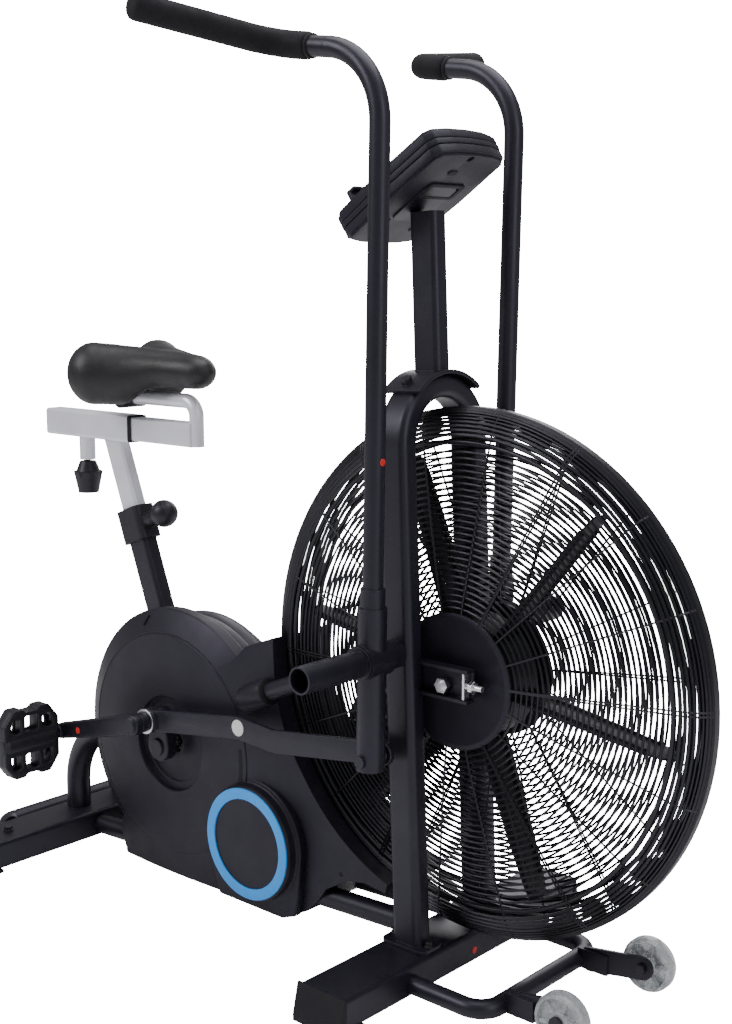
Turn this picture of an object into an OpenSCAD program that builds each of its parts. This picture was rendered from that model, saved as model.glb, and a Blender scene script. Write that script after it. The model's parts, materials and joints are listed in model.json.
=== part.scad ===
// Air bike: a fan-resisted exercise bike with moving handle levers.
// +X points forward to the fan, +Y to the rider's left, +Z up. The floor is z = 0.
// Parts that exist on both sides are drawn on the rider's right (-Y) and mirrored.

/* [Fan and cage] */
// Fan axle ahead of the middle of the bike
fan_x = 262; // [258:1:266]
// Height of the fan axle
fan_z = 397; // [394:1:402]
// Outer radius of the wire cage
cage_r = 340; // [336:1:342]
// Radius of the flat face of the cage
cage_face_r = 300; // [290:5:305]
// Distance of the flat face's edge from the middle plane
cage_edge_y = 22; // [18:1:24]
// Radius of the solid disc at the middle of each face
hub_disc_r = 86; // [80:1:90]
// Distance of the hub discs from the middle plane
hub_disc_y = 42; // [40:1:42]
// Rings on each face
face_rings = 7; // [4:1:9]
// Spokes on each face
face_spokes = 12; // [8:2:16]
// Wire radius
wire_r = 2; // [1.6:0.1:2.2]
// Blades on the rotor
blade_count = 6; // [4:1:12]

/* [Crank and pedals] */
// Crank axle behind the middle of the bike
crank_x = -253; // [-256:1:-250]
// Height of the crank axle
crank_z = 211; // [208:1:214]
// Crank axle to pedal axle
crank_len = 170; // [165:1:172]
// Crank axle to link pin
link_pin_r = 44; // [40:1:46]
// Pedal platform width
pedal_w = 96; // [88:1:98]
// Pedal platform length
pedal_len = 104; // [98:1:108]

/* [Levers and handles] */
// Distance of each lever from the middle plane
lever_y = 130; // [130:1:134]
// Lever pivot ahead of the middle of the bike
pivot_x = 202; // [200:1:204]
// Height of the lever pivot
pivot_z = 431; // [428:1:434]
// Lever pivot to the link bolt below it
lever_arm = 126; // [120:1:130]
// Handle tube diameter
handle_d = 25.4; // [24:0.1:26]
// Height where the handle starts to bend back
handle_bend_z = 1070; // [1050:5:1090]
// Grip diameter
grip_d = 33; // [30:1:36]

/* [Seat] */
// Lean of the seat tube from upright, in degrees
seat_lean = 20.9; // [20:0.1:22]
// Height of the seat slider's middle
slider_z = 664; // [658:1:668]
// Rear end of the seat slider, behind the middle of the bike
slider_back = 602; // [600:1:604]
// Saddle length
saddle_len = 250; // [240:5:255]
// Saddle width at the rear
saddle_w = 206; // [190:2:210]

/* [Frame] */
// Lean of the fork and mast from upright, in degrees
fork_lean = 2.5; // [2.3:0.1:2.7]
// Distance of each fork leg from the middle plane
leg_y = 71; // [70:1:72]
// Front stabilizer ahead of the middle of the bike
front_foot_x = 221; // [220:1:222]
// Rear stabilizer behind the middle of the bike
rear_foot_x = -499.5; // [-501:0.5:-498]
// Front stabilizer length over its tube
front_foot_len = 480; // [460:10:520]
// Rear stabilizer length over its tube
rear_foot_len = 520; // [500:10:560]
// Stabilizer tube width
foot_w = 76; // [74:1:78]
// Stabilizer tube height
foot_h = 42; // [40:1:42]

/* [Console] */
// Console length along its face
console_len = 186; // [170:2:190]
// Console width
console_w = 142; // [126:2:144]
// Console thickness
console_t = 40; // [34:1:42]
// Tilt of the console's face from level, in degrees
console_tilt = 32.8; // [30:0.1:36]

/* [Hidden] */
$fn = 64;

// Colours
satin_black = [0.07, 0.07, 0.08];
soft_black = [0.05, 0.05, 0.05];
shell_black = [0.09, 0.09, 0.11];
silver = [0.72, 0.73, 0.77];
zinc = [0.62, 0.62, 0.62];
ring_blue = [0.15, 0.55, 0.85];

// Small distances
gap = 0.3;            // between pieces that pass each other
run = 0.05;           // radial play of a shaft in its bore
wall = 2.5;           // moulded covers

// Stabilizers and rails
foot_lift = 5;        // tube above the floor, on its end caps
foot_top = foot_lift + foot_h;
foot_r = 6;
cap_slope = 12;
rail_y = 38;
rail_r = 15;
rail_back_z = 24;
rail_front_z = 54;
rail_back_x = rear_foot_x + foot_w / 2;
rail_front_x = front_foot_x - foot_w / 2;
rail_pitch = atan2(rail_front_z - rail_back_z, rail_front_x - rail_back_x);
rail_run = norm([rail_front_x - rail_back_x, rail_front_z - rail_back_z]);

// Rear uprights
upright_y = 45;
upright_r = 19;
upright_x = -510;
upright_bend_z = 85;
upright_bend_r = 110;
upright_turn = 75;
upright_end = 45;
upright_join = [-385, 203];

// Seat tube, its sleeve and the post; distances run up the tube from its foot
seat_foot = [crank_x - 27, crank_z];
tube_long = 42;
tube_wide = 27;
post_long = 37;
post_wide = 22;
collar_low = 300;
collar_high = 352;
post_low = 172;
slider_h = 42;
slider_w = 34;
post_high = (slider_z - slider_h / 2 - seat_foot[1]) / cos(seat_lean);
slider_front_x = -398;
bar_h = 36;
bar_w = 28;
bar_front_x = -258;
bar_back_x = -560;
arm_r = 11;
arm_z = 713;
arm_back_x = -428;
saddle_z = 722;
slider_knob_x = -519;
slider_neck = 36;

// Bottom bracket and drive
bb_r = 25;
bb_half = 34;
axle_r = 10;
pulley_y = -44;
pulley_w = 12;
drive_pulley_r = 100;
jack = [-79, 108];
jack_r = 8;
jack_small_r = 28;
jack_big_r = 44;
fan_pulley_r = 22;
second_y = 49.5;
second_w = 5;
belt_t = 3;

// Fan
fan_axle_r = 6;
fan_hub_r = 54;
fan_root_r = 78;
rotor_r = 290;
blade_t = 2.5;

// Fork
leg_long = 45;
leg_wide = 30;
leg_round = 10;
arch_z = 688;
// Rear end of the upper stays, with a cross tube clear of the cage
stay_pos = [-84, 312.6];
function fork_x(z) = front_foot_x - 2 - (z - foot_top) * tan(fork_lean);

// Cranks, links and levers, outward from the middle plane
inner_arm_y = 76;
arm_t = 16;
link_y = 101;
link_t = 8;
link_h = 32;
eye_r = 19;
link_bore_r = 10;
outer_arm_y = 128;
pedal_y = 200;
spindle_r = 7;
lever_bolt = [pivot_x - lever_arm * sin(1.06), pivot_z - lever_arm * cos(1.06)];
link_dir = 90;
right_pin = [crank_x + link_pin_r * cos(link_dir), crank_z + link_pin_r * sin(link_dir)];
left_pin = [crank_x - link_pin_r * cos(link_dir), crank_z - link_pin_r * sin(link_dir)];
lever_lean = 1.06;
lever_r = 18;
stub_r = 13;
hub_r = 22;
hub_half = 22;
peg_r = 17;
peg_end = 257;

// Covers
drum_r = 200;
drum_mid_r = 184;
drum_face_r = 165;
right_face_y = 70;
rim_y = 52;
rim_inner_y = 30;
left_face_r = 142;
left_face_y = 60;
left_rim_y = 20;
block_y = 56;
cage_clear_r = cage_r + 12;
recess_r = 70;
recess_depth = 12;
badge = jack;
badge_r = 81;
badge_face_y = 84;

// Console axes: along the face, and out of the face
console_pos = [165.4, 1003.5];

// ---- shared shapes ----

module oval(long, wide) {
    square([long - wide, wide], center = true);
    translate([(long - wide) / 2, 0]) circle(d = wide);
    translate([-(long - wide) / 2, 0]) circle(d = wide);
}

module round_rect(long, wide, r) {
    square([long - 2 * r, wide], center = true);
    square([long, wide - 2 * r], center = true);
    for (sx = [-1, 1], sy = [-1, 1])
        translate([sx * (long / 2 - r), sy * (wide / 2 - r)]) circle(r = r);
}

// A flat bar outline that tapers from one round end to another
module taper(a, ra, b, rb) {
    d = b - a;
    theta = atan2(d[1], d[0]);
    beta = acos((ra - rb) / norm(d));
    translate(a) circle(r = ra);
    translate(b) circle(r = rb);
    polygon([
        a + ra * [cos(theta + beta), sin(theta + beta)],
        a + ra * [cos(theta - beta), sin(theta - beta)],
        b + rb * [cos(theta - beta), sin(theta - beta)],
        b + rb * [cos(theta + beta), sin(theta + beta)]
    ]);
}

// Extrudes an outline drawn in x and z, from y = from to y = to
module along_y(from, to) {
    translate([0, to, 0]) rotate([90, 0, 0]) linear_extrude(to - from) children();
}

module rod_y(x, z, r, from, to) {
    translate([x, to, z]) rotate([90, 0, 0]) cylinder(r = r, h = to - from);
}

module rod(a, b, r) {
    d = b - a;
    translate(a) rotate([0, acos(d[2] / norm(d)), atan2(d[1], d[0])])
        cylinder(r = r, h = norm(d));
}

module both_sides() {
    children();
    mirror([0, 1, 0]) children();
}

// Places children in the seat tube's axes: z runs up the tube
module seat_axes() {
    translate([seat_foot[0], 0, seat_foot[1]]) rotate([0, -seat_lean, 0]) children();
}

// Places children in the fork's axes: z runs up the leg from the stabilizer's top
module fork_axes() {
    translate([fork_x(foot_top), 0, foot_top]) rotate([0, -fork_lean, 0]) children();
}

// Places children in the console's axes: x up the face, z out of the face
module console_axes() {
    translate([console_pos[0], 0, console_pos[1]]) rotate([0, -console_tilt, 0]) children();
}

// ---- base ----

module rail_line(r) {
    translate([rail_back_x, -rail_y, rail_back_z])
        rotate([0, 90 - rail_pitch, 0]) cylinder(r = r, h = rail_run);
}

module base_rails() {
    color(satin_black) {
        both_sides() rail_line(rail_r);
        translate([-190, -rail_y, 30]) cube([40, 2 * rail_y, 16]);
        rod([-172, 0, 38], [crank_x + 8, 0, crank_z - 20], 14);
    }
}

module upright_path(r) {
    translate([upright_x, -upright_y, foot_top]) cylinder(r = r, h = upright_bend_z - foot_top);
    translate([upright_x + upright_bend_r, -upright_y, upright_bend_z])
        rotate([-90, 180, 0])
            rotate_extrude(angle = upright_turn) translate([upright_bend_r, 0]) circle(r = r);
    end_x = upright_x + upright_bend_r * (1 - cos(upright_turn));
    end_z = upright_bend_z + upright_bend_r * sin(upright_turn);
    translate([end_x, -upright_y, end_z]) rotate([0, upright_turn, 0]) cylinder(r = r, h = upright_end);
}

module rear_uprights() {
    color(satin_black) {
        both_sides() upright_path(upright_r);
        rod_y(upright_join[0], upright_join[1], 15, -upright_y, upright_y);
        rod([upright_join[0], 0, upright_join[1]], [crank_x - 18, 0, crank_z], 15);
    }
}

module seat_tube() {
    color(satin_black) difference() {
        union() {
            seat_axes() linear_extrude(collar_high - 4) round_rect(tube_long, tube_wide, 7);
            rod_y(crank_x, crank_z, bb_r, -bb_half, bb_half);
        }
        seat_axes() translate([0, 0, 60]) linear_extrude(collar_high)
            round_rect(post_long + 2 * gap, post_wide + 2 * gap, 5 + gap);
        rod_y(crank_x, crank_z, bb_r - 6, -bb_half - 1, bb_half + 1);
        seat_axes() translate([0, 0, 326]) rotate([0, 90, 0]) cylinder(r = 4.5, h = 40);
    }
}

module upper_stays() {
    stay_back = [stay_pos[0], -leg_y, stay_pos[1]];
    stay_front = [fork_x(425) - leg_long / 2 + 4, -leg_y, 425];
    color(satin_black) {
        both_sides() rod(stay_back, stay_front, 12.5);
        both_sides() translate(stay_back) sphere(r = 14);
        rod_y(stay_back[0], stay_back[2], 12, -leg_y, leg_y);
        rod([stay_back[0], 0, stay_back[2]], [-306, 0, 281], 12);
    }
}

module leg_outline() {
    round_rect(leg_long, leg_wide, leg_round);
}

module fork_arch() {
    leg_run = (arch_z - foot_top) / cos(fork_lean);
    color(satin_black) {
        fork_axes() {
            both_sides() translate([0, -leg_y, -1]) linear_extrude(leg_run + 1) leg_outline();
            translate([0, 0, leg_run]) rotate([90, 0, 90])
                rotate_extrude(angle = 180) translate([leg_y, 0]) rotate(90) leg_outline();
        }
        both_sides() translate([front_foot_x - 2, -leg_y, foot_top])
            linear_extrude(5) round_rect(72, 46, 12);
    }
}

module foot_tube(length) {
    difference() {
        along_y(-length / 2, length / 2)
            translate([0, foot_lift + foot_h / 2]) round_rect(foot_w, foot_h, foot_r);
        along_y(-length / 2 - 1, length / 2 + 1)
            translate([0, foot_lift + foot_h / 2]) round_rect(foot_w - 5, foot_h - 5, foot_r - 2);
    }
}

module front_stabilizer() {
    color(satin_black) translate([front_foot_x, 0, 0]) foot_tube(front_foot_len);
}

module rear_stabilizer() {
    color(satin_black) translate([rear_foot_x, 0, 0]) foot_tube(rear_foot_len);
}

// One end cap, slanted outward to the floor, on the -Y end of a stabilizer
module end_cap(length) {
    h = foot_top + 0.5;
    translate([-foot_w / 2 - 1.5, 0, 0]) rotate([90, 0, 90]) linear_extrude(foot_w + 3)
        polygon([
            [-length / 2, 0],
            [-length / 2 - cap_slope, 0],
            [-length / 2 - cap_slope, 8],
            [-length / 2 - 3, h],
            [-length / 2, h]
        ]);
    along_y(-length / 2, -length / 2 + 14)
        translate([0, foot_lift + foot_h / 2]) round_rect(foot_w - 5.4, foot_h - 5.4, foot_r - 2);
    translate([-foot_w / 2 - 1.5, -length / 2, 0]) cube([foot_w + 3, 34, foot_lift - 0.2]);
}

module end_caps() {
    color(soft_black) {
        both_sides() translate([front_foot_x, 0, 0]) end_cap(front_foot_len);
        both_sides() translate([rear_foot_x, 0, 0]) end_cap(rear_foot_len);
    }
}

module rear_rail() {
    rail_x = rear_foot_x - foot_w / 2 - 18.5;
    rail_half = 140;
    color(satin_black) {
        rod_y(rail_x, 34, 16, -rail_half, rail_half);
        both_sides() translate([rail_x + 18.5, -rail_half, 34])
            rotate([0, 0, 180]) rotate_extrude(angle = 90) translate([18.5, 0]) circle(r = 16);
    }
}

// ---- transport wheels ----

wheel_x = 469;
wheel_z = 40;
wheel_y = 96;
wheel_r = 35;
wheel_w = 22;
bar_x = 372;
bar_z = 22;

module wheel_bar() {
    bend = 30;
    color(satin_black) difference() {
        union() {
            both_sides() {
                rod([front_foot_x + foot_w / 2 - 1, -118, bar_z], [bar_x - bend, -118, bar_z], 12);
                translate([bar_x - bend, -118 + bend, bar_z]) rotate([0, 0, -90])
                    rotate_extrude(angle = 90) translate([bend, 0]) circle(r = 12);
                translate([bar_x + 4, -86, bar_z - 8]) cube([44, 12, 26]);
                along_y(-82, -77) taper([bar_x + 20, bar_z + 5], 16, [wheel_x, wheel_z], 15);
            }
            rod_y(bar_x, bar_z, 12, -118 + bend, 118 - bend);
        }
        rod_y(wheel_x, wheel_z, 4.1, -120, 120);
    }
}

module wheel(side) {
    color("lightgray") difference() {
        rod_y(wheel_x, wheel_z, wheel_r, side * wheel_y - wheel_w / 2, side * wheel_y + wheel_w / 2);
        rod_y(wheel_x, wheel_z, 5 + run, side * wheel_y - wheel_w, side * wheel_y + wheel_w);
        for (s = [-1, 1])
            translate([0, side * wheel_y + s * wheel_w / 2, 0]) rod_y(wheel_x, wheel_z, 13, -2, 2);
    }
}

module right_wheel() {
    wheel(-1);
}

module left_wheel() {
    wheel(1);
}

// ---- fasteners of the frame ----

module bolt_z(x, y, z, r) {
    translate([x, y, z]) cylinder(r = r + 3, h = 1.6);
    translate([x, y, z + 1.6]) cylinder(r = r + 1.5, h = 5, $fn = 6);
}

module frame_bolts() {
    color(soft_black) {
        both_sides() {
            // Foot plates
            bolt_z(front_foot_x - 31.5, -leg_y + 2, foot_top + 5, 3.5);
            bolt_z(front_foot_x + 27.5, -leg_y - 2, foot_top + 5, 3.5);
            // Rear stabilizer
            bolt_z(rear_foot_x + 2, -190, foot_top, 5);
            // Wheel bolts: head outside the wheel, nut inside the bracket
            rod_y(wheel_x, wheel_z, 4, -wheel_y - wheel_w / 2 - 1, -74);
            rod_y(wheel_x, wheel_z, 5, -wheel_y - wheel_w / 2 - 1, -wheel_y + wheel_w / 2 + 1);
            rod_y(wheel_x, wheel_z, 9, -wheel_y - wheel_w / 2 - 5, -wheel_y - wheel_w / 2 - 0.5);
            translate([wheel_x, -72, wheel_z]) rotate([90, 0, 0]) cylinder(r = 7, h = 5, $fn = 6);
        }
    }
}

// ---- mast and console ----

module console_mast() {
    plate_r = leg_y + leg_wide / 2;
    leg_run = (arch_z - foot_top) / cos(fork_lean);
    mast_low = leg_run + plate_r;
    color(satin_black) {
        fork_axes() {
            translate([0, 0, leg_run]) rotate([90, 0, 90]) rotate([0, 0, 48])
                rotate_extrude(angle = 84) translate([plate_r + 2.6, 0]) square([5, 58], center = true);
            translate([0, 0, mast_low + 2]) linear_extrude(198) round_rect(42, 28, 9);
            for (a = [-32, 32])
                translate([0, 0, leg_run]) rotate([a, 0, 0]) translate([0, 0, plate_r + 5])
                    cylinder(r = 7.5, h = 6.5, $fn = 6);
        }
        // Tray that the console screws to
        console_axes() translate([-4, 0, -console_t / 2 - 2]) linear_extrude(2)
            round_rect(70, 60, 8);
    }
}

module console_outline(grow) {
    intersection() {
        round_rect(console_len + 24 + 2 * grow, console_w + 2 * grow, 14);
        translate([-console_len / 2 - grow + 520, 0]) circle(r = 520);
        translate([console_len / 2 + grow - 300, 0]) circle(r = 300);
    }
}

module console_back() {
    color(shell_black) console_axes() difference() {
        translate([0, 0, -console_t / 2]) linear_extrude(console_t * 0.6) console_outline(0);
        translate([0, 0, -console_t / 2 + wall]) linear_extrude(console_t) console_outline(-wall);
    }
}

button_x = -52;
button_y = 24;

module console_front() {
    low = -console_t / 2 + console_t * 0.6;
    color(shell_black) console_axes() difference() {
        union() {
            translate([0, 0, low]) linear_extrude(console_t * 0.4) console_outline(0);
            // Ledge that stops a phone from sliding off the face
            translate([-72, -46, console_t / 2 - 2]) cube([9, 92, 24]);
            translate([-66, -46, console_t / 2 + 18]) cube([8, 92, 4]);
        }
        translate([0, 0, low - 1]) linear_extrude(console_t * 0.4 - wall + 1) console_outline(-wall);
        translate([18, 0, console_t / 2 - 6]) linear_extrude(10) round_rect(92, 100, 6);
        for (s = [-1, 1])
            translate([button_x, s * button_y, console_t / 2 - 6]) cylinder(r = 9 + gap, h = 10);
    }
}

module console_screen() {
    color([0.35, 0.4, 0.38]) console_axes()
        translate([18, 0, console_t / 2 - 4]) linear_extrude(3) round_rect(91.6, 99.6, 5.8);
}

module button(side) {
    color([0.3, 0.3, 0.32]) console_axes() translate([button_x, side * button_y, console_t / 2 - 5])
        cylinder(r = 9, h = 8);
}

module left_button() {
    button(1);
}

module right_button() {
    button(-1);
}

// ---- covers ----

// Outline of the forward part of the covers, drawn in x and z; d moves its edges inward
module block_outline(d) {
    difference() {
        polygon([
            [-380 + d, 42],
            [-379 + d, 5 + d],
            [-30, 5 + d],
            [2 - d, 16 + d],
            [32 - d, 38 + d],
            [48 - d, 64 + d],
            [60 - d, 76 + d],
            [98 - 3 * d, 86 + d],
            [40, 200],
            [-20, 387 - d],
            [-97, 387 - d],
            [-125 - d, 353 - d],
            [-150, 345 - d],
            [crank_x, crank_z]
        ]);
        translate([fan_x, fan_z]) circle(r = cage_clear_r + d);
    }
}

module right_solid(d) {
    rod_y(crank_x, crank_z, drum_r - d, -rim_y + d / 2, -rim_inner_y - d);
    rod_y(crank_x, crank_z, drum_mid_r - d, -rim_inner_y - d - 1, 0);
    translate([crank_x, -rim_y + d / 2, crank_z]) rotate([90, 0, 0])
        cylinder(r1 = drum_r - d, r2 = drum_face_r - d, h = right_face_y - rim_y - d * 1.5);
    along_y(-block_y + d, 0) block_outline(d);
}

module left_solid(d) {
    rod_y(crank_x, crank_z, drum_mid_r - d, 0, left_rim_y);
    translate([crank_x, left_rim_y, crank_z]) rotate([-90, 0, 0])
        cylinder(r1 = drum_mid_r - d, r2 = left_face_r - d, h = left_face_y - left_rim_y - d);
    along_y(0, block_y - d) block_outline(d);
}

// Everything of the frame that passes through a cover's walls
module frame_passages() {
    both_sides() {
        rail_line(rail_r + 1);
        rod([-520, -upright_y, 105], [-400, -upright_y, 225], 27);
        rod([-99, -leg_y, 306.1], [40, -leg_y, 365.8], 15.2);
        rod_y(stay_pos[0], stay_pos[1], 12.6, -leg_y, 0);
        rod([-460, -upright_y, 182.9], [-366, -upright_y, 208], 20);
    }
    seat_axes() translate([0, 0, 120]) cylinder(r = 27, h = 200);
}

module right_cover() {
    face = -right_face_y;
    color(shell_black) difference() {
        union() {
            difference() {
                right_solid(0);
                right_solid(wall);
                rod_y(crank_x, crank_z, recess_r, face - 1, face + recess_depth);
            }
            difference() {
                rod_y(crank_x, crank_z, recess_r + wall, face + wall, face + recess_depth + wall);
                rod_y(crank_x, crank_z, recess_r, face - 1, face + recess_depth);
            }
            // Boss round the frame stay
            rod([-104, -leg_y + 2, 304], [-40, -leg_y + 2, 331.5], 19);
        }
        rod_y(crank_x, crank_z, 16, face - 1, 0);
        frame_passages();
        translate([-500, -0.1, -10]) cube([700, 200, 600]);
    }
}

module left_cover() {
    face = left_face_y;
    color(shell_black) difference() {
        union() {
            difference() {
                left_solid(0);
                left_solid(wall);
                rod_y(crank_x, crank_z, recess_r, face - recess_depth, face + 1);
            }
            difference() {
                rod_y(crank_x, crank_z, recess_r + wall, face - recess_depth - wall, face - wall);
                rod_y(crank_x, crank_z, recess_r, face - recess_depth, face + 1);
            }
            rod([-104, leg_y - 2, 304], [-40, leg_y - 2, 331.5], 19);
        }
        rod_y(crank_x, crank_z, 16, 0, face + 1);
        frame_passages();
        // Way out for the second belt
        along_y(second_y - 4, second_y + 4) translate(jack + [30, 25]) rotate(40.3)
            square([400, 2 * jack_big_r + 14], center = true);
        translate([-500, -199.9, -10]) cube([700, 200, 600]);
    }
}

module right_badge() {
    color(shell_black) difference() {
        union() {
            rod_y(badge[0], badge[1], badge_r + 8, -badge_face_y + 14, -block_y);
            rod_y(badge[0], badge[1], badge_r, -badge_face_y, -badge_face_y + 14);
        }
        rod_y(crank_x, crank_z, drum_r + 1, -right_face_y, -block_y + 10);
    }
}

module badge_ring() {
    color(ring_blue) difference() {
        rod_y(badge[0], badge[1], badge_r - 1, -badge_face_y - 1.6, -badge_face_y);
        rod_y(badge[0], badge[1], badge_r - 16, -badge_face_y - 3, -badge_face_y + 1);
    }
}

module cover_screws() {
    color(soft_black) both_sides() {
        rod_y(-366, 14, 4, -block_y - 1, -block_y);
        rod_y(84, 98, 4, -block_y - 1, -block_y);
        rod_y(-100, 366, 4, -block_y - 1, -block_y);
    }
}

// ---- belts ----

// Outline of a belt round two pulleys, as a polygon with short sides
module belt_outer(a, ra, b, rb, t) {
    d = b - a;
    theta = atan2(d[1], d[0]);
    beta = acos((ra - rb) / norm(d));
    n = 24;
    polygon(concat(
        [for (i = [0 : n]) a + (ra + t) * [
            cos(theta + beta + i * (360 - 2 * beta) / n),
            sin(theta + beta + i * (360 - 2 * beta) / n)
        ]],
        [for (i = [0 : n]) b + (rb + t) * [
            cos(theta - beta + i * 2 * beta / n),
            sin(theta - beta + i * 2 * beta / n)
        ]]
    ));
}

module belt(a, ra, b, rb, y, w) {
    along_y(y - w / 2, y + w / 2) difference() {
        belt_outer(a, ra, b, rb, belt_t + 0.8);
        belt_outer(a, ra, b, rb, 0.8);
    }
}

module first_belt() {
    color(soft_black) belt([crank_x, crank_z], drive_pulley_r, jack, jack_small_r, pulley_y, 9);
}

module second_belt() {
    color(soft_black) belt(jack, jack_big_r, [fan_x, fan_z], fan_pulley_r, second_y, second_w - 1);
}

// Flat case over the second belt, from the covers' front edge to the fan axle
module belt_guard() {
    inner = hub_disc_y + 3 + gap;
    outer = leg_y - leg_wide / 2 - gap;
    color(shell_black) difference() {
        along_y(inner, outer) intersection() {
            belt_outer(jack, jack_big_r, [fan_x, fan_z], fan_pulley_r, 8);
            translate([fan_x, fan_z]) circle(r = cage_clear_r - gap);
        }
        along_y(inner + 1.2, outer - 1.2) belt_outer(jack, jack_big_r, [fan_x, fan_z], fan_pulley_r, 6.8);
        rod_y(fan_x, fan_z, 13, inner - 1, outer + 1);
    }
}

// ---- cage ----

// Pattern of one face, seen along its axis
module face_pattern() {
    inner = hub_disc_r - 4;
    outer = cage_r - 6;
    for (i = [0 : face_rings]) {
        r = inner + i * (outer - inner - 2 * wire_r) / face_rings;
        difference() {
            circle(r = r + 2 * wire_r);
            circle(r = r);
        }
    }
    for (i = [0 : face_spokes - 1])
        rotate(i * 360 / face_spokes + 15) translate([inner + 2, -wire_r])
            square([outer - inner - 4, 2 * wire_r]);
}

// Wires of one face, on the -Y side: the pattern cut from a shallow cone
module cage_face() {
    translate([fan_x, 0, fan_z]) rotate([90, 0, 0]) intersection() {
        linear_extrude(60) face_pattern();
        rotate_extrude() polygon([
            [60, hub_disc_y - wire_r], [hub_disc_r, hub_disc_y - wire_r],
            [cage_face_r, cage_edge_y - wire_r], [cage_r, 11],
            [cage_r, 15.5], [cage_face_r, cage_edge_y + wire_r],
            [hub_disc_r, hub_disc_y + wire_r], [60, hub_disc_y + wire_r]
        ]);
    }
}

module cage_right() {
    color(soft_black) cage_face();
}

module cage_left() {
    color(soft_black) mirror([0, 1, 0]) cage_face();
}

module cage_band() {
    color(soft_black) translate([fan_x, 0, fan_z]) rotate([90, 0, 0]) {
        for (y = [-8, 0, 8])
            translate([0, 0, y]) rotate_extrude() translate([cage_r - 2 - abs(y) / 4, 0])
                circle(r = 2, $fn = 16);
        for (i = [0 : 7])
            rotate([0, 0, 22.5 + i * 45]) translate([cage_r - 7, -9, -13.6]) cube([5, 18, 27.2]);
    }
}

module hub_discs() {
    color(shell_black) both_sides() difference() {
        rod_y(fan_x, fan_z, hub_disc_r - 5, -hub_disc_y - 2, -hub_disc_y + 2);
        rod_y(fan_x, fan_z, 12, -hub_disc_y - 4, -hub_disc_y + 4);
    }
}

// ---- fan ----

module fan_rotor() {
    color([0.12, 0.12, 0.12]) translate([fan_x, 0, fan_z]) {
        for (i = [0 : blade_count - 1])
            rotate([0, i * 360 / blade_count + 9, 0]) translate([0, 0, -blade_t / 2])
                linear_extrude(blade_t) polygon([
                    [fan_root_r - 4, -28], [120, -27], [rotor_r - 60, -20], [rotor_r, -15],
                    [rotor_r, 15], [rotor_r - 60, 20], [120, 27], [fan_root_r - 4, 28]
                ]);
        rotate([90, 0, 0]) difference() {
            cylinder(r = fan_root_r, h = 60, center = true);
            cylinder(r = fan_hub_r, h = 62, center = true);
        }
    }
}

module fan_hub() {
    color([0.12, 0.12, 0.12]) difference() {
        union() {
            rod_y(fan_x, fan_z, fan_hub_r, -34, 34);
            rod_y(fan_x, fan_z, 11, -40, 47);
            rod_y(fan_x, fan_z, fan_pulley_r, second_y - second_w / 2, second_y + second_w / 2);
        }
        rod_y(fan_x, fan_z, fan_axle_r + run, -60, 60);
    }
}

module fan_axle() {
    color(zinc) {
        rod_y(fan_x, fan_z, fan_axle_r, -74, 74);
        both_sides() {
            translate([fan_x, -64, fan_z]) rotate([90, 0, 0]) cylinder(r = 10, h = 7, $fn = 6);
            rod_y(fan_x, fan_z, 9, -54, -52.4);
        }
    }
}

// U-shaped carriers welded to the front of the legs
module axle_brackets() {
    back = fork_x(fan_z + 5) + leg_long / 2 - 4;
    color(satin_black) both_sides() difference() {
        translate([back, -72, fan_z - 16]) cube([304 - back, 15.8, 42]);
        translate([back - 1, -73, fan_z - 12]) cube([320 - back, 14, 34]);
        rod_y(fan_x, fan_z, fan_axle_r + 0.02, -80, -40);
        rod([290, -64, fan_z + 5], [310, -64, fan_z + 5], 4.4);
    }
}

module axle_tensioners() {
    color(zinc) both_sides() {
        translate([296, -71, fan_z - 11]) cube([3, 11, 32]);
        rod([299, -64, fan_z + 5], [322, -64, fan_z + 5], 4);
        translate([304, -64, fan_z + 5]) rotate([0, 90, 0]) cylinder(r = 8, h = 6, $fn = 6);
    }
}

// ---- crank ----

module bottom_bearings() {
    color(zinc) both_sides() difference() {
        union() {
            rod_y(crank_x, crank_z, bb_r - 6, -bb_half, -bb_half + 14);
            rod_y(crank_x, crank_z, bb_r - 1, -bb_half - 2, -bb_half);
        }
        rod_y(crank_x, crank_z, axle_r + run, -bb_half - 3, -bb_half + 15);
    }
}

module crank_axle() {
    color(zinc) rod_y(crank_x, crank_z, axle_r, -inner_arm_y, inner_arm_y);
}

module drive_pulley() {
    color([0.2, 0.2, 0.21]) difference() {
        union() {
            rod_y(crank_x, crank_z, drive_pulley_r, pulley_y - 5, pulley_y + 5);
            rod_y(crank_x, crank_z, 22, pulley_y - 7, pulley_y + 7);
        }
        rod_y(crank_x, crank_z, axle_r, pulley_y - 10, pulley_y + 10);
        for (i = [0 : 5])
            rotate_about([crank_x, crank_z], i * 60)
                rod_y(crank_x + 60, crank_z, 22, pulley_y - 8, pulley_y + 8);
    }
}

module rotate_about(c, a) {
    translate([c[0], 0, c[1]]) rotate([0, a, 0]) translate([-c[0], 0, -c[1]]) children();
}

// Crank of the -Y side; pin and pedal are given as points in x and z
module crank_arm(pin, pedal) {
    axle = [crank_x, crank_z];
    difference() {
        along_y(-inner_arm_y - arm_t, -inner_arm_y + 4) taper(axle, 17, pin, 15);
        along_y(-inner_arm_y, -inner_arm_y + 10) translate(axle) circle(r = axle_r);
    }
    rod_y(pin[0], pin[1], link_bore_r, -outer_arm_y, -inner_arm_y - arm_t);
    rod_y(pin[0], pin[1], 17, -117, -114);
    rod_y(pin[0], pin[1], 13, -outer_arm_y, -117);
    along_y(-outer_arm_y - 15, -outer_arm_y) taper(pin, 15, pedal, 12);
    rod_y(pedal[0], pedal[1], spindle_r, -pedal_y - pedal_w / 2 + 8, -outer_arm_y - 15);
}

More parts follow.
